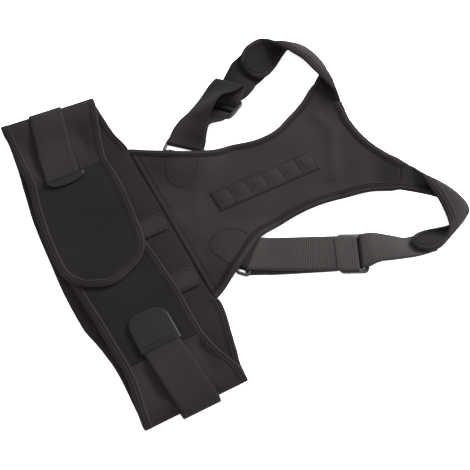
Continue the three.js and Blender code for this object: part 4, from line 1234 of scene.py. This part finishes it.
def webbing_frame(name, distance, upper):
    """Ways ahead, across and up at a distance from the ring, and the point under the webbing's middle."""
    run, side = WEBBING_RUNS[name], SIDES[name]
    heading = math.radians(run["heading"])
    ahead = np.array([math.cos(heading), math.sin(heading), 0])
    flat = np.array([-math.sin(heading), math.cos(heading), 0])
    up = np.array([0, 0, 1.0])

    def blend(high, low):
        most, least = (ease_up(run["turns"], "along", key, distance) for key in (high, low))
        return least + (most - least) * upper

    turn = side * math.radians(blend("upper", "lower"))
    bar, _, outer_bar, _ = ring_axes(name)
    square = ease(distance, *BAR_RULING)
    ruling = unit(flat * square - side * bar * (1 - square))
    left = ruling * math.cos(turn) + up * math.sin(turn)
    normal = up * math.cos(turn) - flat * math.sin(turn)
    foot = np.array([outer_bar[0], outer_bar[1], abs(math.sin(turn)) * WEBBING_WIDTH / 2])
    foot = foot + ahead * distance - flat * side * blend("upper_aside", "lower_aside")
    return ahead, left, normal, foot


def turned(vector, axis, degrees):
    """A vector turned about an axis that it is square to."""
    angle = math.radians(degrees)
    return vector * math.cos(angle) + np.cross(axis, vector) * math.sin(angle)


def webbing_stations(name):
    """Stations of the webbing from its free end to its sewn end."""
    run, half = WEBBING_RUNS[name], WEBBING_WIDTH / 2

    def station(distance, z, upper):
        _, left, normal, foot = webbing_frame(name, distance, upper)
        return [foot + normal * z, left * half, 0.0]

    stations = [station(run["buckle"] + r["along"], r["z"], r["upper"]) for r in run["loop"]]
    stations += [station(r["along"], r["z"], r["upper"]) for r in RING_LOOP]
    stations += [station(run["buckle"] + r["along"], r["z"], 0) for r in BUCKLE_WEAVE]
    strap = strap_rows(name, UNDER_STRAP_STEP, UNDER_STRAP_TURNS)
    below = (NEOPRENE + WEBBING) / 2 + 2 * CLEARANCE
    sewn, reach, i = [], 0.0, len(strap) - 2

    def sew(at, normal, inwards):
        shift = run["sewn_shift"] * (1 - reach / WEBBING_SEWN)
        sewn.append([at - normal * below + inwards * shift, -inwards * half, 0.0])

    while i > 0 and reach < WEBBING_SEWN:
        centre, across, _ = strap[i]
        along = unit(strap[i + 1][0] - strap[i - 1][0])
        normal = unit(np.cross(along, across))
        inwards = turned(unit(across), normal, run["sewn_angle"])
        if not sewn:
            sew(centre + along * WEBBING_STITCH / 2, normal, inwards)
        reach += np.linalg.norm(strap[i + 1][0] - centre)
        if reach > WEBBING_STITCH * (len(sewn) - 0.5):
            sew(centre, normal, inwards)
        i -= 1
    free = stations[-1]
    for share in (1 / 3, 2 / 3):
        centre, across = (free[k] + (sewn[0][k] - free[k]) * share for k in (0, 1))
        stations.append([centre, unit(across) * half, 0.0])
    return stations + sewn


# The left webbing is a touch darker than the right, and darker still at the crest of its loop and from the
# buckle's outer bar to its sewn end: painted shade.
LOOP_PAINTED_SHADE = table("station share", (6, 0), (8, 1), (10, 1), (11.5, 0), (34, 0), (36, 1))
webbing_cloths = {
    "left": cloth_material("left_webbing_painted_shade", srgb(39, 36, 35), srgb(30, 27, 27), **RIBS, specular=0.05,
                           painted_tones=(srgb(22, 20, 19), srgb(17, 15, 15))),
    "right": cloth_material("ribbed_webbing", srgb(42, 39, 38), srgb(33, 30, 29), **RIBS, specular=0.2),
}
webbings = {}
for name in SIDES:
    webbings[name] = band_grid(draw_out(webbing_stations(name), WEBBING_STEPS), WEBBING_COLUMNS)
    stations = np.arange(len(webbings[name])) / WEBBING_STEPS
    painted_light_share = np.interp(stations, column(LOOP_PAINTED_SHADE, "station"), column(LOOP_PAINTED_SHADE, "share"))
    cloth = cloth_wall(f"webbing_band_{name}", webbings[name], WEBBING, painted_light_share=painted_light_share[:, None])
    fit(cloth, webbing_cloths[name], "webbing", f"webbing_{name}")

upper_layer = webbings["right"][SEWN_LAYER]
from_ring = np.linalg.norm(upper_layer[:, WEBBING_COLUMNS // 2, :2] - np.array(RINGS["right"]), axis=1)
sewn_row = upper_layer[int(np.argmin(abs(from_ring - SEWN_FROM_RING)))] + np.array([0, 0, WEBBING / 2])
stitch("webbing_stitches", seam(sewn_row[1:-1]), thickness=0.0012, cover=0.8)


# Slide buckles: moulded plastic frames with a middle bar, which set the length of the webbing.
# The webbing's loop holds each by its middle bar, and the running layer passes over both outer bars.
BUCKLE = {"across": 0.044, "along": 0.029, "bar": 0.004, "centre_bar": 0.005, "end": 0.0045,
          "thickness": 0.003, "z": 0.00435, "corner": 0.0014, "rounding": 0.0009}


def buckle_frame(name):
    """A frame of cells without those of its two slots, its edges rounded."""
    ahead, left, normal, foot = webbing_frame(name, WEBBING_RUNS[name]["buckle"], 0)
    hx, hy, bar = BUCKLE["along"] / 2, BUCKLE["across"] / 2, BUCKLE["centre_bar"] / 2
    xs = [-hx, BUCKLE["bar"] - hx, -bar, bar, hx - BUCKLE["bar"], hx]
    ys = [-hy, BUCKLE["end"] - hy, hy - BUCKLE["end"], hy]
    points = []
    for h, x, y in itertools.product((0, BUCKLE["thickness"]), xs, ys):
        inset = BUCKLE["corner"] if abs(x) == hx and abs(y) == hy else 0
        place = ahead * (x - math.copysign(inset, x)) + left * (y - math.copysign(inset, y))
        points.append(foot + place + normal * (BUCKLE["z"] + h))

    def corner(i, j, level):
        return (level * len(xs) + i) * len(ys) + j

    slots = {(1, 1), (3, 1)}
    cells = set(itertools.product(range(len(xs) - 1), range(len(ys) - 1))) - slots
    faces = []
    for i, j in sorted(cells):
        ring = [(i, j), (i + 1, j), (i + 1, j + 1), (i, j + 1)]
        faces += [[corner(*c, 1) for c in ring], [corner(*c, 0) for c in ring[::-1]]]
        around = (i, j - 1), (i + 1, j), (i, j + 1), (i - 1, j)
        for a, b, cell in zip(ring, ring[1:] + ring[:1], around):
            if cell not in cells:
                faces.append([corner(*a, 0), corner(*b, 0), corner(*b, 1), corner(*a, 1)])
    piece = build(f"buckle_frame_{name}", points, faces)
    bevel = piece.modifiers.new("rounded", "BEVEL")
    bevel.width, bevel.segments, bevel.limit_method, bevel.angle_limit = BUCKLE["rounding"], 3, "ANGLE", 0.6
    settle(piece)
    return piece


moulded_plastic = speckled("moulded_plastic", 1500.0, srgb(19, 19, 20), srgb(27, 27, 28), rough=(0.35, 0.55),
                           specular=0.3, bump=0.1)
for name in SIDES:
    fit(buckle_frame(name), moulded_plastic, "plastic", f"slide_buckle_{name}")


# Floor, light and camera: a plain pale surface under soft studio light.
# The camera looks down along the belt from the photograph's side.
FLOOR_REACH = 6.0
corners = np.array([(-1, -1, 0), (1, -1, 0), (1, 1, 0), (-1, 1, 0)])
floor = build("floor", corners * FLOOR_REACH, [(0, 1, 2, 3)])
pale_floor, tree, shader = new_material("pale_floor")
feed(tree, shader, {"Base Color": (0.93, 0.93, 0.93, 1), "Roughness": 0.9, "Specular IOR Level": 0.1,
                    "Emission Color": (1, 1, 1, 1), "Emission Strength": 0.6})
floor.data.materials.append(pale_floor)

TARGET = np.array([0.0458, 0, 0])
AZIMUTH, ELEVATION, DISTANCE = math.radians(62.34), math.radians(56.8), 0.8
BACK = np.array([math.sin(AZIMUTH) * math.cos(ELEVATION), -math.cos(AZIMUTH) * math.cos(ELEVATION),
                 math.sin(ELEVATION)])


def aim(thing, place):
    """Puts a lamp or the camera at a place, facing the object."""
    thing.location = Vector(place)
    thing.rotation_mode = "QUATERNION"
    thing.rotation_quaternion = Vector(TARGET - place).to_track_quat("-Z", "Y")
    bpy.context.scene.collection.objects.link(thing)


FILM, FOCAL_PIXELS, FRAME_PIXELS = 36.0, 809, 470
lens = bpy.data.cameras.new("camera")
lens.sensor_width = FILM
lens.lens = FILM * FOCAL_PIXELS / FRAME_PIXELS
lens.clip_start, lens.clip_end = 0.01, 50
camera = bpy.data.objects.new("camera", lens)
aim(camera, TARGET + BACK * DISTANCE)
bpy.context.scene.camera = camera

LAMPS = table(
    "name x y z size watts",
    ("key_lamp", -0.45, 1.35, 0.8, 0.7, 75.0),
    ("fill_lamp", 1.3, -0.3, 0.9, 1.0, 10.0),
)
for lamp in LAMPS:
    light = bpy.data.lights.new(lamp["name"], "AREA")
    light.shape, light.size, light.energy = "DISK", lamp["size"], lamp["watts"]
    aim(bpy.data.objects.new(lamp["name"], light), np.array([lamp["x"], lamp["y"], lamp["z"]]))

world = bpy.data.worlds.new("studio")
world.use_nodes = True
feed(world.node_tree, world.node_tree.nodes["Background"], {"Color": (1, 1, 1, 1), "Strength": 1.3})
bpy.context.scene.world = world
bpy.context.scene.view_settings.view_transform = "Standard"
